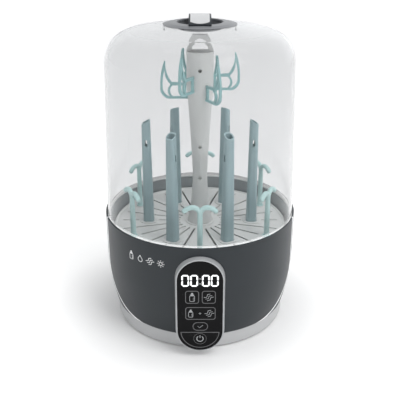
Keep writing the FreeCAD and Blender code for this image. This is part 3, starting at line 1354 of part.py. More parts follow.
def board_components():
    """Transformer, capacitor, relay, heat sink and a row of connectors on the power board."""
    z = BOARD_Z + BOARD_THICK
    x, y = BOARD_LEFT_X, BOARD_REAR_Y
    parts = [
        box(x + 6, x + 26, y - 22, y - 4, z, z + 17),
        cylinder(5.5, z, z + 20, x + 34, y - 10),
        box(x + 6, x + 24, y - 40, y - 29, z, z + 13),
        box(x + 44, x + 47, y - 38, y - 8, z, z + 22),
        box(x + 30, x + 40, y - 40, y - 34, z, z + 8),
    ]
    return Part.makeCompound(parts)


def inlet_block(grow):
    """Outer block of the power inlet, grown by a clearance, in place on the rear cover."""
    outer = cover_radius(INLET_Z) + 0.8
    half = INLET_WIDTH / 2 + grow
    tall = INLET_HEIGHT / 2 + grow
    block = box(outer - INLET_DEPTH, outer, -half, half, INLET_Z - tall, INLET_Z + tall)
    return at_azimuth(block, INLET_AZIMUTH)


def power_inlet():
    """Two-pin appliance inlet: a socket with a figure-of-eight mouth."""
    outer = cover_radius(INLET_Z) + 0.8
    block = inlet_block(0)
    depth = INLET_DEPTH - 4
    half = INLET_PIN_SPACING / 2
    r = INLET_HEIGHT / 2 - INLET_WALL
    mouth = box(outer - depth, outer + 1, -half, half, INLET_Z - r, INLET_Z + r)
    for y in (-half, half):
        mouth = mouth.fuse(cylinder_along_x(r, outer - depth, outer + 1, y, INLET_Z))
    return block.cut(at_azimuth(mouth.removeSplitter(), INLET_AZIMUTH)).cut(inlet_pins())


def inlet_pins():
    outer = cover_radius(INLET_Z) + 0.8
    start = outer - INLET_DEPTH - 5
    end = outer - 5
    pins = [at_azimuth(cylinder_along_x(INLET_PIN_RADIUS, start, end, y, INLET_Z), INLET_AZIMUTH)
            for y in (-INLET_PIN_SPACING / 2, INLET_PIN_SPACING / 2)]
    return Part.makeCompound(pins)


def main():
    os.makedirs("parts", exist_ok=True)
    export("front_cover", front_cover())
    export("rear_cover", rear_cover())
    export("side_trim_left", side_trim(-1))
    export("side_trim_right", side_trim(1))
    export("foot_ring", foot_ring())
    export("bottom_plate", bottom_plate())
    export("foot_pads", foot_pads())
    export("base_screws", base_screws())
    export("steam_bowl", steam_bowl())
    export("air_hood", air_hood())
    export("rim_seal", rim_seal())
    export("heater_plate", heater_plate())
    export("heating_element", heating_element())
    export("thermostat", thermostat())
    export("dome", dome())
    cup = handle_cup()
    export("handle_cup", cup)
    export("handle_bar", handle_bar(cup))
    export("handle_inlay", inlay_block())
    export("rack_tray", rack_tray())
    front, rear = column_halves()
    export("column_front", front)
    export("column_rear", rear)
    export("column_screws", column_screws())
    export("column_nut", column_nut())
    for n, azimuth in enumerate(peg_azimuths(), 1):
        export(f"bottle_peg_{n}", bottle_peg(azimuth))
    for n, azimuth in enumerate(hook_azimuths(), 1):
        export(f"hook_post_{n}", hook_post(azimuth))
    for n, azimuth in enumerate(arm_azimuths(), 1):
        export(f"teat_arm_{n}", teat_arm(n, azimuth))
    export("control_frame", control_frame())
    export("control_glass", control_glass())
    export("display_module", display_module())
    export("control_board", control_board())
    export("touch_sensors", touch_sensors())
    export("filter_housing", filter_housing())
    export("air_filter", air_filter())
    export("filter_door", filter_door())
    export("blower_housing", blower_housing())
    export("blower_lid", blower_lid())
    export("blower_motor", blower_motor())
    export("impeller", impeller())
    export("air_duct", air_duct())
    export("air_heater", air_heater())
    export("power_board", power_board())
    export("board_components", board_components())
    export("power_inlet", power_inlet())
    export("inlet_pins", inlet_pins())


main()
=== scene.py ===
"""Looks of the bottle sterilizer: finishes, printed marks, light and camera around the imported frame.

Lengths are metres in the row frame: +Z up, the control panel faces -Y, +X to the right.
"""

import json
import logging
import math
from collections.abc import Callable
from dataclasses import dataclass, field
from enum import Enum

import bpy
import numpy as np
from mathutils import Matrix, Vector


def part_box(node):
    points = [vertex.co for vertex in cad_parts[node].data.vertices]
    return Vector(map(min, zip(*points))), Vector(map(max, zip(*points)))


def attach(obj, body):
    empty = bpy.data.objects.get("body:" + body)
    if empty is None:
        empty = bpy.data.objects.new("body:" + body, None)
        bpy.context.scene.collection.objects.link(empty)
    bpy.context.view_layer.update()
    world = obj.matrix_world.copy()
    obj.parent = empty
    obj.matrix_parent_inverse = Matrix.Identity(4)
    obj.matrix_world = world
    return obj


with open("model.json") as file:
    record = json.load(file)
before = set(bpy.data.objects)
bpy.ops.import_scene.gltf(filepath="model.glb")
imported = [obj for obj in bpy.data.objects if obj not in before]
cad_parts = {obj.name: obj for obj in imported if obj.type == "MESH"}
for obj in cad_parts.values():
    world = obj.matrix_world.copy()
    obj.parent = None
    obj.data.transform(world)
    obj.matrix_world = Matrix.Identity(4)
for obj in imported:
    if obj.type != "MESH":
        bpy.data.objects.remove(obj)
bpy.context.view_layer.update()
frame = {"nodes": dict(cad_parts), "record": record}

MM = 0.001
LOG = logging.getLogger("sterilizer")
Loop = np.ndarray
Point = tuple[float, float]
Colour = tuple[float, float, float]
Mapper = Callable[[np.ndarray, float], np.ndarray]

COLOUR = "NodeSocketColor"
NUMBER = "NodeSocketFloat"
VECTOR = "NodeSocketVector"
RAMP_SOCKETS = ("From Min", "From Max", "To Min", "To Max")

CLOUD_DETAIL = 5.0                # octaves of the slow variation
GRAIN_DETAIL = 2.0                # octaves of the moulded grain
GRAIN_DEPTH = 0.2 * MM
LINE_DETAIL = 3.0                 # octaves of the brushed lines
LINE_DEPTH = 0.1 * MM
LINE_STRETCH = (1.0, 0.04, 1.0)   # draws the brushed noise out along y
SMEAR_DETAIL = 6.0
SMEAR_DISTORTION = 0.6
SMEAR_RANGE = (0.42, 0.68)        # noise where a smear begins and where it is full
SCATTER_REACH = 4.0 * MM
BEAD_HEIGHT = 5.0 * MM            # thick foot bead of the dome


class Slot(Enum):
    """Material slots of the record that the scene paints."""

    SHELL_DARK = "shell_dark"
    SHELL_LIGHT = "shell_light"
    FRAME_SILVER = "frame_silver"
    PANEL_BLACK = "panel_black"
    CLEAR_DOME = "clear_dome"
    BOWL_GREY = "bowl_grey"
    RACK_GREY = "rack_grey"
    PEG_TEAL = "peg_teal"
    HOOK_MINT = "hook_mint"
    ARM_MINT = "arm_mint"
    SEAL_WHITE = "seal_white"
    PAD_RUBBER = "pad_rubber"
    STEEL = "steel"
    INNER_METAL = "inner_metal"
    INNER_PLASTIC = "inner_plastic"
    BOARD_GREEN = "board_green"
    DISPLAY = "display"
    FILTER_PAPER = "filter_paper"


# ---------------------------------------------------------------- shared shader effects
class Effects:
    """Shader node groups that several finishes place with their own values."""

    @staticmethod
    def _group(
        name: str, inputs: dict[str, tuple[str, object]], outputs: dict[str, str]
    ) -> bpy.types.NodeTree:
        """Makes an empty group with a named interface.

        Args:
            name: Name of the group.
            inputs: Input names, each with its socket type and default; a vector's default is not used.
            outputs: Output names, each with its socket type.

        Returns:
            The node tree, holding one input node and one output node.
        """
        tree = bpy.data.node_groups.new(name, "ShaderNodeTree")
        for label, (kind, value) in inputs.items():
            socket = tree.interface.new_socket(name=label, in_out="INPUT", socket_type=kind)
            if kind != VECTOR:
                socket.default_value = value
        for label, kind in outputs.items():
            tree.interface.new_socket(name=label, in_out="OUTPUT", socket_type=kind)
        tree.nodes.new("NodeGroupInput").name = "In"
        tree.nodes.new("NodeGroupOutput").name = "Out"
        return tree

    @staticmethod
    def _noise(
        tree: bpy.types.NodeTree, way: bpy.types.NodeSocket, scale: str, detail: float
    ) -> bpy.types.Node:
        """Adds a noise whose scale comes from one of the group's inputs.

        Args:
            tree: The group's node tree.
            way: Coordinates that the noise reads.
            scale: Name of the input that holds the scale.
            detail: Octaves of the noise.

        Returns:
            The noise node.
        """
        noise = tree.nodes.new("ShaderNodeTexNoise")
        noise.inputs["Detail"].default_value = detail
        tree.links.new(way, noise.inputs["Vector"])
        tree.links.new(tree.nodes["In"].outputs[scale], noise.inputs["Scale"])
        return noise

    @staticmethod
    def _spread(tree: bpy.types.NodeTree, slow: bpy.types.Node, fine: bpy.types.Node) -> None:
        """Lets one noise vary colour and roughness, and sends another out as the height.

        Args:
            tree: The group's node tree.
            slow: Noise for colour and roughness.
            fine: Noise for the height.
        """
        nodes, links = tree.nodes, tree.links
        entry, leave = nodes["In"], nodes["Out"]
        mix = nodes.new("ShaderNodeMix")
        mix.data_type = "RGBA"
        rough = nodes.new("ShaderNodeMapRange")
        links.new(slow.outputs["Fac"], mix.inputs["Factor"])
        links.new(entry.outputs["Colour Low"], mix.inputs["A"])
        links.new(entry.outputs["Colour High"], mix.inputs["B"])
        links.new(slow.outputs["Fac"], rough.inputs["Value"])
        links.new(entry.outputs["Rough Low"], rough.inputs["To Min"])
        links.new(entry.outputs["Rough High"], rough.inputs["To Max"])
        links.new(mix.outputs["Result"], leave.inputs["Colour"])
        links.new(rough.outputs["Result"], leave.inputs["Roughness"])
        links.new(fine.outputs["Fac"], leave.inputs["Height"])

    @staticmethod
    def moulded_grain() -> bpy.types.NodeTree:
        """Spark-eroded grain of a moulded plastic: two sizes of noise.

        Returns:
            Group whose Colour, Roughness and Height vary over the surface.
        """
        name = "moulded_grain"
        if name in bpy.data.node_groups:
            return bpy.data.node_groups[name]
        tree = Effects._group(
            name,
            {
                "Vector": (VECTOR, None),
                "Cloud Scale": (NUMBER, 30.0),
                "Grain Scale": (NUMBER, 1500.0),
                "Colour Low": (COLOUR, (0.5, 0.5, 0.5, 1.0)),
                "Colour High": (COLOUR, (0.6, 0.6, 0.6, 1.0)),
                "Rough Low": (NUMBER, 0.4),
                "Rough High": (NUMBER, 0.5),
            },
            {"Colour": COLOUR, "Roughness": NUMBER, "Height": NUMBER},
        )
        way = tree.nodes["In"].outputs["Vector"]
        cloud = Effects._noise(tree, way, "Cloud Scale", CLOUD_DETAIL)
        grain = Effects._noise(tree, way, "Grain Scale", GRAIN_DETAIL)
        Effects._spread(tree, cloud, grain)
        return tree

    @staticmethod
    def brushed_lines() -> bpy.types.NodeTree:
        """Fine parallel scratches of a brushed or drawn metal: noise stretched along one axis.

        Returns:
            Group whose Colour, Roughness and Height run in lines.
        """
        name = "brushed_lines"
        if name in bpy.data.node_groups:
            return bpy.data.node_groups[name]
        tree = Effects._group(
            name,
            {
                "Vector": (VECTOR, None),
                "Line Scale": (NUMBER, 900.0),
                "Colour Low": (COLOUR, (0.5, 0.5, 0.5, 1.0)),
                "Colour High": (COLOUR, (0.6, 0.6, 0.6, 1.0)),
                "Rough Low": (NUMBER, 0.2),
                "Rough High": (NUMBER, 0.4),
            },
            {"Colour": COLOUR, "Roughness": NUMBER, "Height": NUMBER},
        )
        stretch = tree.nodes.new("ShaderNodeVectorMath")
        stretch.operation = "MULTIPLY"
        stretch.inputs[1].default_value = LINE_STRETCH
        tree.links.new(tree.nodes["In"].outputs["Vector"], stretch.inputs[0])
        lines = Effects._noise(tree, stretch.outputs["Vector"], "Line Scale", LINE_DETAIL)
        Effects._spread(tree, lines, lines)
        return tree

    @staticmethod
    def handled_gloss() -> bpy.types.NodeTree:
        """Faint smears that handling leaves on a glossy surface: thresholded soft noise.

        Returns:
            Group whose Roughness rises in the smears.
        """
        name = "handled_gloss"
        if name in bpy.data.node_groups:
            return bpy.data.node_groups[name]
        tree = Effects._group(
            name,
            {
                "Vector": (VECTOR, None),
                "Smear Scale": (NUMBER, 25.0),
                "Clean": (NUMBER, 0.05),
                "Smeared": (NUMBER, 0.12),
            },
            {"Roughness": NUMBER},
        )
        links, entry = tree.links, tree.nodes["In"]
        smear = Effects._noise(tree, entry.outputs["Vector"], "Smear Scale", SMEAR_DETAIL)
        smear.inputs["Distortion"].default_value = SMEAR_DISTORTION
        ramp = tree.nodes.new("ShaderNodeMapRange")
        ramp.inputs["From Min"].default_value = SMEAR_RANGE[0]
        ramp.inputs["From Max"].default_value = SMEAR_RANGE[1]
        links.new(smear.outputs["Fac"], ramp.inputs["Value"])
        links.new(entry.outputs["Clean"], ramp.inputs["To Min"])
        links.new(entry.outputs["Smeared"], ramp.inputs["To Max"])
        links.new(ramp.outputs["Result"], tree.nodes["Out"].inputs["Roughness"])
        return tree


def new_material(name: str) -> tuple[bpy.types.Material, bpy.types.Node, bpy.types.Node]:
    """Makes a material with a principled shader and an object-space coordinate node.

    Args:
        name: Name of the material.

    Returns:
        The material, its principled shader and its coordinate node.
    """
    material = bpy.data.materials.new(name)
    material.use_nodes = True
    nodes = material.node_tree.nodes
    shader = nodes["Principled BSDF"]
    place = nodes.new("ShaderNodeTexCoord")
    return material, shader, place


def place_group(
    material: bpy.types.Material, tree: bpy.types.NodeTree, values: dict[str, object]
) -> bpy.types.Node:
    """Puts a shared effect into a material with its own values.

    Args:
        material: Material that gets the group.
        tree: The shared node group.
        values: Input names with their values.

    Returns:
        The group node.
    """
    node = material.node_tree.nodes.new("ShaderNodeGroup")
    node.node_tree = tree
    for label, value in values.items():
        node.inputs[label].default_value = value
    return node


def join_effect(
    tree: bpy.types.NodeTree,
    place: bpy.types.Node,
    group: bpy.types.Node,
    shader: bpy.types.Node,
    strength: float,
    depth: float,
) -> None:
    """Leads an effect's colour, roughness and height into a principled shader.

    Args:
        tree: The material's node tree.
        place: Coordinate node.
        group: The effect.
        shader: Principled shader.
        strength: Strength of the bump.
        depth: Depth of the bump.
    """
    bump = tree.nodes.new("ShaderNodeBump")
    bump.inputs["Strength"].default_value = strength
    bump.inputs["Distance"].default_value = depth
    tree.links.new(place.outputs["Object"], group.inputs["Vector"])
    tree.links.new(group.outputs["Colour"], shader.inputs["Base Color"])
    tree.links.new(group.outputs["Roughness"], shader.inputs["Roughness"])
    tree.links.new(group.outputs["Height"], bump.inputs["Height"])
    tree.links.new(bump.outputs["Normal"], shader.inputs["Normal"])


def opaque(colour: Colour) -> tuple[float, float, float, float]:
    """Adds a full alpha to a colour.

    Args:
        colour: Linear red, green and blue.

    Returns:
        The colour with alpha 1.
    """
    return (*colour, 1.0)


@dataclass(frozen=True)
class Moulded:
    """Finish of a moulded plastic or rubber piece.

    Args:
        name: Name of the material.
        low: Darker colour of the slow variation.
        high: Lighter colour of the slow variation.
        rough: Lowest and highest roughness.
        cloud: Scale of the slow variation.
        grain: Scale of the fine grain.
        bump: Strength of the grain's bump.
        coat: Weight of a clear coat.
        scatter: Weight of scattering under the surface.
        glow: Strength of emitted light in the high colour: real on lit digits, a painted highlight on the
            side trims.
        specular: Level of the plain reflection.
    """

    name: str
    low: Colour
    high: Colour
    rough: tuple[float, float] = (0.4, 0.5)
    cloud: float = 30.0
    grain: float = 1500.0
    bump: float = 0.08
    coat: float = 0.0
    scatter: float = 0.0
    glow: float = 0.0
    specular: float = 0.5

    def build(self) -> bpy.types.Material:
        """Makes the material.

        Returns:
            The finished material.
        """
        material, shader, place = new_material(self.name)
        group = place_group(material, Effects.moulded_grain(), {
            "Cloud Scale": self.cloud,
            "Grain Scale": self.grain,
            "Colour Low": opaque(self.low),
            "Colour High": opaque(self.high),
            "Rough Low": self.rough[0],
            "Rough High": self.rough[1],
        })
        shader.inputs["Coat Weight"].default_value = self.coat
        shader.inputs["Specular IOR Level"].default_value = self.specular
        shader.inputs["Subsurface Weight"].default_value = self.scatter
        shader.inputs["Subsurface Radius"].default_value = (SCATTER_REACH,) * 3
        shader.inputs["Subsurface Scale"].default_value = 1.0
        if self.glow > 0.0:
            shader.inputs["Emission Color"].default_value = opaque(self.high)
            shader.inputs["Emission Strength"].default_value = self.glow
        join_effect(material.node_tree, place, group, shader, self.bump, GRAIN_DEPTH)
        return material


@dataclass(frozen=True)
class Metal:
    """Finish of a bare, brushed or silver-painted metal piece.

    Args:
        name: Name of the material.
        low: Darker colour of the lines.
        high: Lighter colour of the lines.
        rough: Lowest and highest roughness.
        lines: Scale of the lines.
        metallic: Metallic weight.
        bump: Strength of the lines' bump.
    """

    name: str
    low: Colour
    high: Colour
    rough: tuple[float, float] = (0.25, 0.4)
    lines: float = 900.0
    metallic: float = 1.0
    bump: float = 0.1

    def build(self) -> bpy.types.Material:
        """Makes the material.

        Returns:
            The finished material.
        """
        material, shader, place = new_material(self.name)
        group = place_group(material, Effects.brushed_lines(), {
            "Line Scale": self.lines,
            "Colour Low": opaque(self.low),
            "Colour High": opaque(self.high),
            "Rough Low": self.rough[0],
            "Rough High": self.rough[1],
        })
        shader.inputs["Metallic"].default_value = self.metallic
        join_effect(material.node_tree, place, group, shader, self.bump, LINE_DEPTH)
        return material


@dataclass(frozen=True)
class Glossy:
    """Finish of a polished black touch glass with faint smears.

    Args:
        name: Name of the material.
        colour: Colour under the gloss.
        clean: Roughness where it is clean.
        smeared: Roughness in the smears.
        cloud: Scale of the slow variation.
        lift: How much lighter its lightest places are.
        specular: Level of the plain reflection.
    """

    name: str
    colour: Colour
    clean: float = 0.08
    smeared: float = 0.2
    cloud: float = 60.0
    lift: float = 1.35
    specular: float = 0.10

    def build(self) -> bpy.types.Material:
        """Makes the material.

        Returns:
            The finished material.
        """
        material, shader, place = new_material(self.name)
        tree = material.node_tree
        grain = place_group(material, Effects.moulded_grain(), {
            "Cloud Scale": self.cloud,
            "Colour Low": opaque(self.colour),
            "Colour High": opaque(tuple(self.lift * c for c in self.colour)),
        })
        smear = place_group(material, Effects.handled_gloss(), {
            "Clean": self.clean,
            "Smeared": self.smeared,
        })
        shader.inputs["Specular IOR Level"].default_value = self.specular
        tree.links.new(place.outputs["Object"], grain.inputs["Vector"])
        tree.links.new(place.outputs["Object"], smear.inputs["Vector"])
        tree.links.new(grain.outputs["Colour"], shader.inputs["Base Color"])
        tree.links.new(smear.outputs["Roughness"], shader.inputs["Roughness"])
        return material


@dataclass(frozen=True)
class Clear:
    """Finish of the clear dome: thin transparent plastic with a faint grey veil, and a painted highlight on
    its foot bead.

    Args:
        name: Name of the material.
        colour: Tint of what is seen through one wall.
        shadow: Tint of the light that one wall lets through.
        ior: Index of refraction.
        bead_top: Height of the top of the thick foot bead, below which a highlight is painted.
        bead_painted_highlight: Brightness of the painted highlight, an emission on the bead.
        bead_fade: Height over which that painted highlight fades in.
        smear_scale: Scale of the smears.
        smeared: Roughness in the smears.
    """

    name: str
    colour: Colour = (0.825, 0.828, 0.832)
    shadow: Colour = (0.97, 0.97, 0.97)
    ior: float = 1.22
    bead_top: float = 0.0
    bead_painted_highlight: float = 0.22
    bead_fade: float = 1.0 * MM
    smear_scale: float = 14.0
    smeared: float = 0.03

    def build(self) -> bpy.types.Material:
        """Makes the material.

        Returns:
            The finished material.
        """
        material, shader, place = new_material(self.name)
        tree = material.node_tree
        smear = place_group(material, Effects.handled_gloss(), {
            "Smear Scale": self.smear_scale,
            "Clean": 0.0,
            "Smeared": self.smeared,
        })
        shader.inputs["Base Color"].default_value = opaque(self.colour)
        shader.inputs["Transmission Weight"].default_value = 1.0
        shader.inputs["IOR"].default_value = self.ior
        tree.links.new(place.outputs["Object"], smear.inputs["Vector"])
        tree.links.new(smear.outputs["Roughness"], shader.inputs["Roughness"])
        # paints a highlight on the dome's foot bead as emission
        self._paint_bead_highlight(tree, place, shader)
        light = tree.nodes.new("ShaderNodeLightPath")
        through = tree.nodes.new("ShaderNodeBsdfTransparent")
        through.inputs["Color"].default_value = opaque(self.shadow)
        either = tree.nodes.new("ShaderNodeMath")
        either.operation = "MAXIMUM"
        mix = tree.nodes.new("ShaderNodeMixShader")
        out = tree.nodes["Material Output"]
        tree.links.new(light.outputs["Is Shadow Ray"], either.inputs[0])
        tree.links.new(light.outputs["Is Diffuse Ray"], either.inputs[1])
        tree.links.new(either.outputs["Value"], mix.inputs["Fac"])
        tree.links.new(shader.outputs["BSDF"], mix.inputs[1])
        tree.links.new(through.outputs["BSDF"], mix.inputs[2])
        tree.links.new(mix.outputs["Shader"], out.inputs["Surface"])
        return material

    def _paint_bead_highlight(self, tree: bpy.types.NodeTree, place: bpy.types.Node, shader: bpy.types.Node) -> None:
        """Paints a highlight on the foot bead: an emission that fades in below the bead's top, standing in
        for light on its thick edge.

        Args:
            tree: The material's node tree.
            place: Coordinate node.
            shader: Principled shader.
        """
        split = tree.nodes.new("ShaderNodeSeparateXYZ")
        fade = tree.nodes.new("ShaderNodeMapRange")
        fade.inputs["From Min"].default_value = self.bead_top
        fade.inputs["From Max"].default_value = self.bead_top - self.bead_fade
        fade.inputs["To Max"].default_value = self.bead_painted_highlight
        shader.inputs["Emission Strength"].default_value = 1.0
        tree.links.new(place.outputs["Object"], split.inputs["Vector"])
        tree.links.new(split.outputs["Z"], fade.inputs["Value"])
        tree.links.new(fade.outputs["Result"], shader.inputs["Emission Color"])


FINISHES = {
    Slot.SHELL_DARK: Moulded(
        "slate_shell", (0.012, 0.017, 0.021), (0.016, 0.022, 0.027), (0.36, 0.46), specular=0.42),
    Slot.SHELL_LIGHT: Moulded(
        "pale_shell", (0.53, 0.535, 0.54), (0.59, 0.595, 0.60), (0.30, 0.40), specular=0.3),
    Slot.FRAME_SILVER: Metal(
        "silver_frame", (0.44, 0.45, 0.46), (0.54, 0.55, 0.56), (0.36, 0.44),
        lines=2600.0, metallic=0.35, bump=0.02),
    Slot.PANEL_BLACK: Glossy("touch_glass", (0.004, 0.004, 0.0045)),
    Slot.CLEAR_DOME: Clear("clear_shell", bead_top=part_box("dome")[0].z + BEAD_HEIGHT),
    Slot.BOWL_GREY: Moulded("bowl_plastic", (0.25, 0.27, 0.28), (0.31, 0.33, 0.34), (0.30, 0.42)),
    Slot.RACK_GREY: Moulded(
        "rack_plastic", (0.66, 0.67, 0.66), (0.73, 0.74, 0.73), (0.34, 0.46), scatter=0.1),
    Slot.PEG_TEAL: Moulded(
        "peg_plastic", (0.32, 0.44, 0.465), (0.38, 0.50, 0.525), (0.34, 0.46), scatter=0.1),
    Slot.HOOK_MINT: Moulded(
        "hook_plastic", (0.49, 0.70, 0.69), (0.58, 0.77, 0.76), (0.30, 0.42), scatter=0.15),
    Slot.ARM_MINT: Moulded(
        "arm_plastic", (0.30, 0.50, 0.51), (0.37, 0.57, 0.58), (0.30, 0.42), scatter=0.15),
    Slot.SEAL_WHITE: Moulded("seal_silicone", (0.76, 0.77, 0.76), (0.84, 0.85, 0.84), (0.5, 0.6)),
    Slot.PAD_RUBBER: Moulded(
        "pad_rubber", (0.028, 0.028, 0.030), (0.045, 0.045, 0.047), (0.7, 0.85), bump=0.3),
    Slot.STEEL: Metal("brushed_steel", (0.48, 0.48, 0.47), (0.66, 0.66, 0.64)),
    Slot.INNER_METAL: Metal("plain_metal", (0.46, 0.47, 0.48), (0.58, 0.59, 0.60), (0.35, 0.5)),
    Slot.INNER_PLASTIC: Moulded(
        "inner_plastic", (0.075, 0.075, 0.078), (0.105, 0.105, 0.110), (0.45, 0.6)),
    Slot.BOARD_GREEN: Moulded(
        "board_mask", (0.018, 0.11, 0.045), (0.03, 0.17, 0.07), (0.25, 0.35), cloud=240.0, coat=0.3),
    Slot.DISPLAY: Moulded("display_body", (0.46, 0.46, 0.43), (0.54, 0.54, 0.51), (0.4, 0.5)),
    Slot.FILTER_PAPER: Moulded(
        "filter_paper", (0.66, 0.65, 0.59), (0.80, 0.79, 0.74), (0.85, 0.95),
        cloud=180.0, grain=900.0, bump=0.5),
}
# The side trims are white; their glow is a painted highlight that lights the strips where they sit in shade.
TRIM_WHITE_PAINTED_GLOW = Moulded("trim_white_painted_glow", (0.82, 0.825, 0.83), (0.88, 0.885, 0.89), (0.25, 0.35), glow=0.25)
OWN_FINISHES = {
    "side_trim_left": TRIM_WHITE_PAINTED_GLOW,
    "side_trim_right": TRIM_WHITE_PAINTED_GLOW,
    "handle_cup": Moulded("grip_dish", (0.11, 0.115, 0.125), (0.15, 0.155, 0.165), (0.28, 0.38)),
    "handle_bar": Moulded("grip_bar", (0.008, 0.011, 0.015), (0.011, 0.015, 0.02), (0.3, 0.4), specular=0.25),
}
FLOOR_FINISH = Moulded(
    "pale_floor", (0.86, 0.86, 0.86), (0.87, 0.87, 0.87), (0.7, 0.8),
    cloud=2.0, grain=200.0, bump=0.0, specular=0.1)


# ---------------------------------------------------------------- outlines in a plane
SHARPEST = 0.3   # keeps a very sharp corner from running far out


def circle(centre: Point, radius: float, count: int = 40) -> Loop:
    """Points evenly round a circle: centre plus radius times cosine and sine of the angle.

    Args:
        centre: Centre of the circle.
        radius: Radius.
        count: Number of points.

    Returns:
        The closed outline, anticlockwise.
    """
    angle = np.linspace(0.0, 2.0 * np.pi, count, endpoint=False)
    return np.column_stack((centre[0] + radius * np.cos(angle), centre[1] + radius * np.sin(angle)))


def round_box(centre: Point, width: float, height: float, corner: float, count: int = 8) -> Loop:
    """Rectangle with round corners: quarter circles about four corner centres, joined by straight sides.

    Args:
        centre: Centre of the rectangle.
        width: Full width.
        height: Full height.
        corner: Corner radius.
        count: Points along each corner.

    Returns:
        The closed outline, anticlockwise.
    """
    turn = np.linspace(0.0, 0.5 * np.pi, count)
    angle = (turn[None, :] + 0.5 * np.pi * np.arange(4)[:, None]).ravel()
    side = np.repeat(np.array([[1, 1], [-1, 1], [-1, -1], [1, -1]], float), count, axis=0)
    middle = side * (np.array([width, height]) / 2.0 - corner)
    return np.array(centre) + middle + corner * np.column_stack((np.cos(angle), np.sin(angle)))


def outward(loop: Loop, distance: float) -> Loop:
    """Moves the sides of an anticlockwise outline outwards: a corner goes along the sum of its side normals.

    Args:
        loop: The closed outline.
        distance: How far the sides move; negative moves them inwards.

    Returns:
        The moved outline.
    """
    side = np.roll(loop, -1, axis=0) - loop
    side /= np.linalg.norm(side, axis=1, keepdims=True)
    normal = np.column_stack((side[:, 1], -side[:, 0]))
    before = np.roll(normal, 1, axis=0)
    share = 1.0 + (normal * before).sum(axis=1, keepdims=True)
    return loop + distance * (normal + before) / np.maximum(share, SHARPEST)


@dataclass
class Print:
    """Thin raised marks laid on a surface, gathered into one piece.

    Args:
        name: Name of the piece.
        mapper: Turns plane points and a height into points of the row frame.
        thickness: How far the marks stand off the surface and reach into it.
        points: Vertices gathered so far.
        faces: Faces gathered so far, as vertex numbers.
        count: Number of vertices gathered so far.
    """

    name: str
    mapper: Mapper
    thickness: float = 0.15 * MM
    points: list[np.ndarray] = field(default_factory=list)
    faces: list[list[int]] = field(default_factory=list)
    count: int = 0

    def _add(self, flat: np.ndarray, height: float) -> int:
        """Maps plane points at a height and stores them.

        Args:
            flat: Plane points.
            height: Height over the surface.

        Returns:
            Index of the first new vertex.
        """
        start = self.count
        self.points.append(self.mapper(flat, height))
        self.count += len(flat)
        return start

    def filled(self, loop: Loop) -> None:
        """Adds a filled convex mark: the outline below the surface and above it, closed by side faces.

        Args:
            loop: The closed outline, anticlockwise.
        """
        low = self._add(loop, -self.thickness)
        high = self._add(loop, self.thickness)
        index = np.arange(len(loop))
        after = np.roll(index, -1)
        self.faces.append((high + index).tolist())
        self.faces.append((low + index[::-1]).tolist())
        self.faces += np.column_stack((low + index, low + after, high + after, high + index)).tolist()

    def band(self, loop: Loop, width: float) -> None:
        """Adds a closed line of even width: outer and inner outlines at two heights, joined all round.

        Args:
            loop: The middle of the line, anticlockwise.
            width: Width of the line.
        """
        outer, inner = outward(loop, width / 2.0), outward(loop, -width / 2.0)
        a = self._add(outer, -self.thickness)
        b = self._add(outer, self.thickness)
        c = self._add(inner, self.thickness)
        d = self._add(inner, -self.thickness)
        index = np.arange(len(loop))
        after = np.roll(index, -1)
        for first, second in ((a, b), (b, c), (c, d), (d, a)):
            self.faces += np.column_stack(
                (first + index, first + after, second + after, second + index)).tolist()

    def stroke(self, path: Loop, width: float) -> None:
        """Adds an open line of even width: the path moved to both sides, at two heights, with closed ends.

        Args:
            path: Points along the middle of the line.
            width: Width of the line.
        """
        along = np.gradient(path, axis=0)
        along /= np.linalg.norm(along, axis=1, keepdims=True)
        side = np.column_stack((along[:, 1], -along[:, 0])) * width / 2.0
        a = self._add(path + side, -self.thickness)
        b = self._add(path + side, self.thickness)
        c = self._add(path - side, self.thickness)
        d = self._add(path - side, -self.thickness)
        index = np.arange(len(path) - 1)
        for first, second in ((a, b), (b, c), (c, d), (d, a)):
            self.faces += np.column_stack(
                (first + index, first + index + 1, second + index + 1, second + index)).tolist()
        last = len(path) - 1
        self.faces.append([a, b, c, d])
        self.faces.append([d + last, c + last, b + last, a + last])

    def finish(self, material: bpy.types.Material, body: str, slot: Slot) -> bpy.types.Object:
        """Makes the piece and puts it on its body.

        Args:
            material: The marks' material.
            body: CAD body that the piece rides on.
            slot: Record slot that the piece belongs to; not used.

        Returns:
            The finished piece.
        """
        mesh = bpy.data.meshes.new(self.name)
        mesh.from_pydata(np.vstack(self.points).tolist(), [], self.faces)
        mesh.update()
        piece = bpy.data.objects.new(self.name, mesh)
        bpy.context.scene.collection.objects.link(piece)
        mesh.materials.append(material)
        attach(piece, body)
        LOG.info("%s: %d faces on %s", self.name, len(self.faces), body)
        return piece


# ---------------------------------------------------------------- sub-assemblies
@dataclass
class Paint:
    """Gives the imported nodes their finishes, by the record's slots.

    Args:
        materials: The material of each slot, once made.
    """

    materials: dict[Slot, bpy.types.Material] = field(default_factory=dict)

    def build(self) -> None:
        """Makes each finish once and assigns it: a node's own finish if it has one, else its slot's."""
        for slot, finish in FINISHES.items():
            self.materials[slot] = finish.build()
        own = {finish: finish.build() for finish in dict.fromkeys(OWN_FINISHES.values())}
        for part in frame["record"]["subparts"]:
            node = frame["nodes"][part["node"]]
            slot = Slot(part["material_slot"])
            finish = OWN_FINISHES.get(part["node"])
            node.data.materials.clear()
            node.data.materials.append(own[finish] if finish else self.materials[slot])
            LOG.info("%s: %s", part["node"], slot.value)


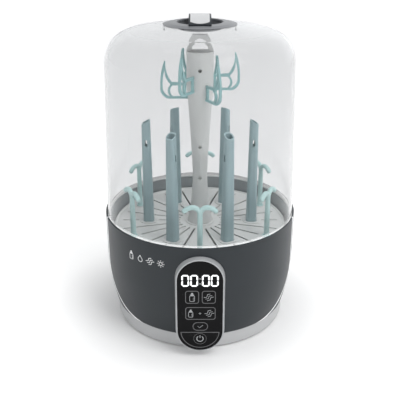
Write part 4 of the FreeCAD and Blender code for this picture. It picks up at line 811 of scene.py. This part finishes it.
@dataclass
class ControlPanel:
    """Lit digits, key outlines and pictograms on the touch glass."""

    digit_width: float = 10.4 * MM
    digit_height: float = 17.8 * MM
    digit_pitch: float = 11.8 * MM
    pair_offset: float = 13.65 * MM
    stroke_width: float = 2.1 * MM
    line_width: float = 1.0 * MM
    digit_drop: float = 29.0 * MM
    key_drop: float = 54.4 * MM
    wide_drop: float = 79.9 * MM
    confirm_drop: float = 100.8 * MM
    power_drop: float = 110.4 * MM
    ring_drop: float = 120.9 * MM
    segment_gap: float = 0.35 * MM
    dot_radius: float = 0.45 * MM
    dot_levels: tuple[float, float] = (-4.6 * MM, 3.0 * MM)
    key_places: tuple[float, float] = (-10.6 * MM, 11.8 * MM)
    key_width: float = 17.6 * MM
    key_height: float = 18.8 * MM
    key_corner: float = 3.2 * MM
    wide_place: float = 0.6 * MM
    wide_width: float = 40.0 * MM
    confirm_place: float = 0.4 * MM
    confirm_width: float = 20.0 * MM
    confirm_height: float = 12.4 * MM
    confirm_corner: float = 6.0 * MM
    arc_inset: float = 4.6 * MM
    ring_radius: float = 8.7 * MM
    icon_line: float = 0.6 * MM
    icon_sink: float = 0.6 * MM
    power_radius: float = 4.4 * MM

    def build(self) -> None:
        """Makes the digits, the key outlines and the pictograms."""
        low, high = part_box("control_glass")
        face = low.y
        top = high.z

        def on_glass(flat: np.ndarray, height: float) -> np.ndarray:
            """Lays plane points on the glass: x across, y up from its top edge, height towards the front.

            Args:
                flat: Plane points.
                height: Height over the glass.

            Returns:
                Points of the row frame.
            """
            out = np.empty((len(flat), 3))
            out[:, 0] = flat[:, 0]
            out[:, 1] = face - height
            out[:, 2] = top + flat[:, 1]
            return out

        lit = Moulded("lit_digits", (0.85, 0.87, 0.88), (0.92, 0.94, 0.95), glow=0.9).build()
        grey = Moulded("key_print", (0.11, 0.11, 0.115), (0.14, 0.14, 0.145), (0.3, 0.4)).build()
        bright = Moulded("icon_print", (0.34, 0.35, 0.36), (0.42, 0.43, 0.44), (0.3, 0.4), glow=0.1).build()
        self._digits(Print("display_digits", on_glass)).finish(lit, "base", Slot.DISPLAY)
        self._keys(Print("key_outlines", on_glass)).finish(grey, "base", Slot.DISPLAY)
        self._icons(Print("key_icons", on_glass)).finish(bright, "base", Slot.DISPLAY)

    def _digits(self, out: Print) -> Print:
        """Draws four seven-segment zeros and the colon's dots.

        Args:
            out: Marks to add to.

        Returns:
            The same marks.
        """
        half_stroke = self.stroke_width / 2.0
        reach = self.digit_width / 2.0 - half_stroke
        tall = self.digit_height / 2.0 - half_stroke
        gap = self.segment_gap
        for pair in (-1.0, 1.0):
            for place in (-0.5, 0.5):
                x = pair * self.pair_offset + place * self.digit_pitch
                z = -self.digit_drop
                for level in (-1.0, 1.0):
                    out.filled(self._bar((x, z + level * tall), reach - gap, half_stroke, False))
                    for side in (-1.0, 1.0):
                        centre = (x + side * reach, z + level * tall / 2.0)
                        out.filled(self._bar(centre, tall / 2.0 - gap, half_stroke, True))
        for level in self.dot_levels:
            out.filled(circle((0.0, -self.digit_drop + level), self.dot_radius, 16))
        return out

    @staticmethod
    def _bar(centre: Point, reach: float, half: float, upright: bool) -> Loop:
        """One segment of a digit: a hexagon, long between its two points.

        Args:
            centre: Middle of the segment.
            reach: Half its length.
            half: Half its width.
            upright: Whether it stands.

        Returns:
            The closed outline, anticlockwise.
        """
        shape = np.array([
            [reach, 0.0], [reach - half, half], [half - reach, half],
            [-reach, 0.0], [half - reach, -half], [reach - half, -half],
        ])
        if upright:
            shape = np.column_stack((-shape[:, 1], shape[:, 0]))
        return shape + np.array(centre)

    def _keys(self, out: Print) -> Print:
        """Draws the outlines of the keys, the arc under them and the power key's ring.

        Args:
            out: Marks to add to.

        Returns:
            The same marks.
        """
        w = self.line_width
        for x in self.key_places:
            out.band(round_box((x, -self.key_drop), self.key_width, self.key_height, self.key_corner), w)
        wide = (self.wide_place, -self.wide_drop)
        out.band(round_box(wide, self.wide_width, self.key_height, self.key_corner), w)
        confirm = (self.confirm_place, -self.confirm_drop)
        out.band(round_box(confirm, self.confirm_width, self.confirm_height, self.confirm_corner), w)
        low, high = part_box("control_glass")
        half = (high.x - low.x) / 2.0
        bottom = -(high.z - low.z) + half
        radius = half - self.arc_inset
        start = math.asin((bottom + self.power_drop) / radius)
        angle = np.linspace(math.pi + start, 2.0 * math.pi - start, 40)
        arc = np.column_stack((radius * np.cos(angle), bottom + radius * np.sin(angle)))
        out.band(arc, w)
        out.band(circle((0.0, -self.ring_drop), self.ring_radius), 0.5 * w)
        return out

    def _icons(self, out: Print) -> Print:
        """Draws the bottle, drying, plus, confirm and power pictograms.

        Args:
            out: Marks to add to.

        Returns:
            The same marks.
        """
        thin = self.icon_line
        left, right = self.key_places
        self.bottle(out, (left, -self.key_drop - self.icon_sink), 1.0, thin)
        self.waves(out, (right, -self.key_drop), thin)
        self.bottle(out, (-12.6 * MM, -self.wide_drop - self.icon_sink), 0.9, thin)
        self.waves(out, (12.8 * MM, -self.wide_drop), thin)
        for turn in (np.array([1.0, 0.0]), np.array([0.0, 1.0])):
            ends = np.outer(np.array([-1.0, 0.0, 1.0]), turn) * 1.7 * MM
            out.stroke(ends + np.array([0.0, -self.wide_drop]), thin)
        tick = np.array([[-3.4, 0.2], [-1.0, -2.1], [3.6, 2.3]]) * MM
        out.stroke(tick + np.array([self.confirm_place, -self.confirm_drop]), thin)
        centre = np.array([0.0, -self.ring_drop])
        angle = np.radians(np.linspace(125.0, 415.0, 40))
        ring = np.column_stack((np.cos(angle), np.sin(angle))) * self.power_radius
        out.stroke(ring + centre, 1.15 * MM)
        bar = np.array([[0.0, 5.6], [0.0, 3.5], [0.0, 1.4]]) * MM
        out.stroke(bar + centre, 1.0 * MM)
        return out

    @staticmethod
    def bottle(out: Print, centre: Point, scale: float, width: float) -> None:
        """Draws a feeding bottle: a body, a collar and a filled teat.

        Args:
            out: Marks to add to.
            centre: Middle of the pictogram.
            scale: Size, 1 being 13 mm tall.
            width: Line width.
        """
        at = np.array(centre)
        body, collar, teat = ((at[0], at[1] + rise * MM * scale) for rise in (-1.6, 4.0, 6.0))
        out.band(round_box(body, 6.6 * MM * scale, 8.6 * MM * scale, 1.5 * MM), width)
        out.filled(round_box(collar, 5.4 * MM * scale, 1.5 * MM * scale, 0.5 * MM))
        out.filled(circle(teat, 1.5 * MM * scale, 20))
        for step in (-1.0, 0.6, 2.2):
            level = at[1] - (1.6 + step) * MM * scale
            ends = np.array([[1.0 * MM * scale, 0.0], [2.0 * MM * scale, 0.0], [2.9 * MM * scale, 0.0]])
            out.stroke(ends + np.array([at[0], level]), 0.7 * width)

    @staticmethod
    def waves(out: Print, centre: Point, width: float) -> None:
        """Draws three slanted waves of warm air: sine curves along a rising line.

        Args:
            out: Marks to add to.
            centre: Middle of the pictogram.
            width: Line width.
        """
        t = np.linspace(-1.0, 1.0, 24)
        slope = np.array([0.72, 0.70])
        side = np.array([-0.70, 0.72])
        for offset in (-3.2, 0.0, 3.2):
            wave = 0.9 * np.sin(t * np.pi * 1.5)
            path = np.outer(t * 5.2, slope) + np.outer(wave + offset, side)
            out.stroke(path * MM + np.array(centre), width)


@dataclass
class CoverPrint:
    """Row of plain pictograms printed on the left of the front cover."""

    azimuth: float = math.radians(-32.2)
    height: float = 138.0 * MM
    pitch: float = 16.5 * MM

    def build(self) -> None:
        """Makes the printed row."""
        low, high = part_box("rear_cover")
        radius = (high.x - low.x) / 2.0

        def on_cover(flat: np.ndarray, height: float) -> np.ndarray:
            """Wraps plane points round the upright wall: arc length over radius gives the azimuth.

            Args:
                flat: Plane points.
                height: Height over the wall.

            Returns:
                Points of the row frame.
            """
            turn = self.azimuth + flat[:, 0] / radius
            reach = radius + height
            level = self.height + flat[:, 1]
            return np.column_stack((reach * np.sin(turn), -reach * np.cos(turn), level))

        ink = Moulded("white_print", (0.78, 0.79, 0.79), (0.86, 0.87, 0.87), (0.35, 0.45)).build()
        out = Print("cover_pictograms", on_cover)
        thin = 0.9 * MM
        ControlPanel.bottle(out, (-1.5 * self.pitch, -0.4 * MM), 0.95, thin)
        self._drop(out, -0.5 * self.pitch, thin)
        ControlPanel.waves(out, (0.5 * self.pitch, 0.0), thin)
        self._sun(out, 1.5 * self.pitch, thin)
        out.finish(ink, "base", Slot.SHELL_LIGHT)

    @staticmethod
    def _drop(out: Print, x: float, width: float) -> None:
        """Draws a drop of water: a circle drawn out to a point at its top.

        Args:
            out: Marks to add to.
            x: Place along the row.
            width: Line width.
        """
        angle = np.linspace(0.0, 2.0 * np.pi, 40, endpoint=False) + 0.5 * np.pi
        shape = np.column_stack((np.cos(angle), np.sin(angle))) * 3.6
        tip = np.clip(np.sin(angle), 0.0, 1.0) ** 3
        shape[:, 0] *= 1.0 - 0.75 * tip
        shape[:, 1] += 2.4 * tip - 1.4
        out.band(shape * MM + np.array([x, 0.0]), width)

    @staticmethod
    def _sun(out: Print, x: float, width: float) -> None:
        """Draws a small sun for warmth: a ring with eight rays.

        Args:
            out: Marks to add to.
            x: Place along the row.
            width: Line width.
        """
        out.band(circle((x, 0.0), 2.4 * MM, 28), width)
        for turn in np.linspace(0.0, 2.0 * np.pi, 8, endpoint=False):
            ray = np.array([np.cos(turn), np.sin(turn)])
            out.stroke(np.outer(np.array([3.9, 4.7, 5.5]), ray) * MM + np.array([x, 0.0]), width)


@dataclass
class Studio:
    """Pale floor, soft lights and the camera."""

    camera_distance: float = 0.9014
    camera_height: float = 0.5662
    pitch: float = math.radians(23.46)
    lens: float = 58.99
    floor_half: float = 8.0
    # distance ramps of the floor's painted glow: from, to, lowest, highest
    near_ramp: tuple[float, float, float, float] = (0.14, 0.24, 0.10, 0.34)
    far_ramp: tuple[float, float, float, float] = (0.8, 4.0, 0.0, 0.32)
    surround: float = 0.42
    window_side: tuple[float, float, float] = (0.82, 0.57, 0.0)
    window_ramp: tuple[float, float, float, float] = (0.45, 0.95, 0.95, 1.7)
    backdrop: float = 1.04
    sky: Colour = (0.97, 0.985, 1.0)
    aim_height: float = 0.22

    def build(self) -> None:
        """Makes the floor, the lights, the world and the camera."""
        self._floor()
        self._world()
        self._light("key_light", (1.1, -1.1, 2.0), 1.2, 1.2, 24.0)
        self._light("fill_light", (-1.6, -1.0, 1.2), 1.4, 1.4, 2.0)
        self._light("top_light", (0.2, 0.2, 2.4), 1.8, 1.8, 21.0)
        self._camera()
        scene = bpy.context.scene
        scene.view_settings.view_transform = "Standard"
        scene.view_settings.look = "None"

    def _floor(self) -> None:
        """Lays a square floor at z = 0 whose painted glow brightens away from the object, like a lit
        backdrop, and leaves painted shade near it.
        """
        h = self.floor_half
        mesh = bpy.data.meshes.new("floor")
        mesh.from_pydata([(-h, -h, 0.0), (h, -h, 0.0), (h, h, 0.0), (-h, h, 0.0)], [], [(0, 1, 2, 3)])
        floor = bpy.data.objects.new("floor", mesh)
        bpy.context.scene.collection.objects.link(floor)
        material = FLOOR_FINISH.build()
        nodes, links = material.node_tree.nodes, material.node_tree.links
        place = nodes.new("ShaderNodeTexCoord")
        length = nodes.new("ShaderNodeVectorMath")
        length.operation = "LENGTH"
        total = nodes.new("ShaderNodeMath")
        shader = nodes["Principled BSDF"]
        # painted light: the floor's emission rises with distance from the object and stays darker near it
        shader.inputs["Emission Strength"].default_value = 1.0
        links.new(place.outputs["Object"], length.inputs[0])
        for ramp, socket in zip((self.near_ramp, self.far_ramp), total.inputs):
            rise = nodes.new("ShaderNodeMapRange")
            for label, value in zip(RAMP_SOCKETS, ramp):
                rise.inputs[label].default_value = value
            links.new(length.outputs["Value"], rise.inputs["Value"])
            links.new(rise.outputs["Result"], socket)
        links.new(total.outputs["Value"], shader.inputs["Emission Color"])
        mesh.materials.append(material)

    def _world(self) -> None:
        """Lights everything evenly with a pale surround, which reflections see with a bright window in it."""
        world = bpy.data.worlds.new("surround")
        world.use_nodes = True
        nodes, links = world.node_tree.nodes, world.node_tree.links
        back = nodes["Background"]
        back.inputs["Color"].default_value = opaque(self.sky)
        way = nodes.new("ShaderNodeTexCoord")
        side = nodes.new("ShaderNodeVectorMath")
        side.operation = "DOT_PRODUCT"
        side.inputs[1].default_value = self.window_side
        window = nodes.new("ShaderNodeMapRange")
        window.interpolation_type = "SMOOTHSTEP"
        for label, value in zip(RAMP_SOCKETS, self.window_ramp):
            window.inputs[label].default_value = value
        links.new(way.outputs["Generated"], side.inputs[0])
        links.new(side.outputs["Value"], window.inputs["Value"])
        path = nodes.new("ShaderNodeLightPath")
        seen = nodes.new("ShaderNodeMath")
        seen.operation = "MAXIMUM"
        links.new(path.outputs["Is Camera Ray"], seen.inputs[0])
        links.new(path.outputs["Is Transmission Ray"], seen.inputs[1])
        mirrored = nodes.new("ShaderNodeMapRange")
        mirrored.inputs["To Min"].default_value = self.surround
        links.new(path.outputs["Is Glossy Ray"], mirrored.inputs["Value"])
        links.new(window.outputs["Result"], mirrored.inputs["To Max"])
        strength = nodes.new("ShaderNodeMapRange")
        strength.inputs["To Max"].default_value = self.backdrop
        links.new(seen.outputs["Value"], strength.inputs["Value"])
        links.new(mirrored.outputs["Result"], strength.inputs["To Min"])
        links.new(strength.outputs["Result"], back.inputs["Strength"])
        bpy.context.scene.world = world

    def _light(
        self, name: str, at: tuple[float, float, float], width: float, height: float, power: float
    ) -> None:
        """Adds one soft box that faces the middle of the object.

        Args:
            name: Name of the light.
            at: Where it stands.
            width: Width of its face.
            height: Height of its face.
            power: Power in watts.
        """
        data = bpy.data.lights.new(name, "AREA")
        data.shape = "RECTANGLE"
        data.size = width
        data.size_y = height
        data.energy = power
        lamp = bpy.data.objects.new(name, data)
        lamp.location = at
        lamp.visible_glossy = False
        way = Vector((0.0, 0.0, self.aim_height)) - Vector(at)
        lamp.rotation_euler = way.to_track_quat("-Z", "Y").to_euler()
        bpy.context.scene.collection.objects.link(lamp)

    def _camera(self) -> None:
        """Places the camera in front of and above the object, looking down at it."""
        data = bpy.data.cameras.new("camera")
        data.lens = self.lens
        data.sensor_width = 36.0
        data.clip_end = 50.0
        camera = bpy.data.objects.new("camera", data)
        camera.location = (0.0, -self.camera_distance, self.camera_height)
        camera.rotation_euler = (math.pi / 2.0 - self.pitch, 0.0, 0.0)
        bpy.context.scene.collection.objects.link(camera)
        bpy.context.scene.camera = camera


def main() -> None:
    """Paints the frame, adds the printed marks and sets up the studio."""
    logging.basicConfig(level=logging.INFO, format="%(message)s")
    for part in (Paint(), ControlPanel(), CoverPrint(), Studio()):
        LOG.info("building %s", type(part).__name__)
        part.build()


if __name__ == "__main__":
    main()
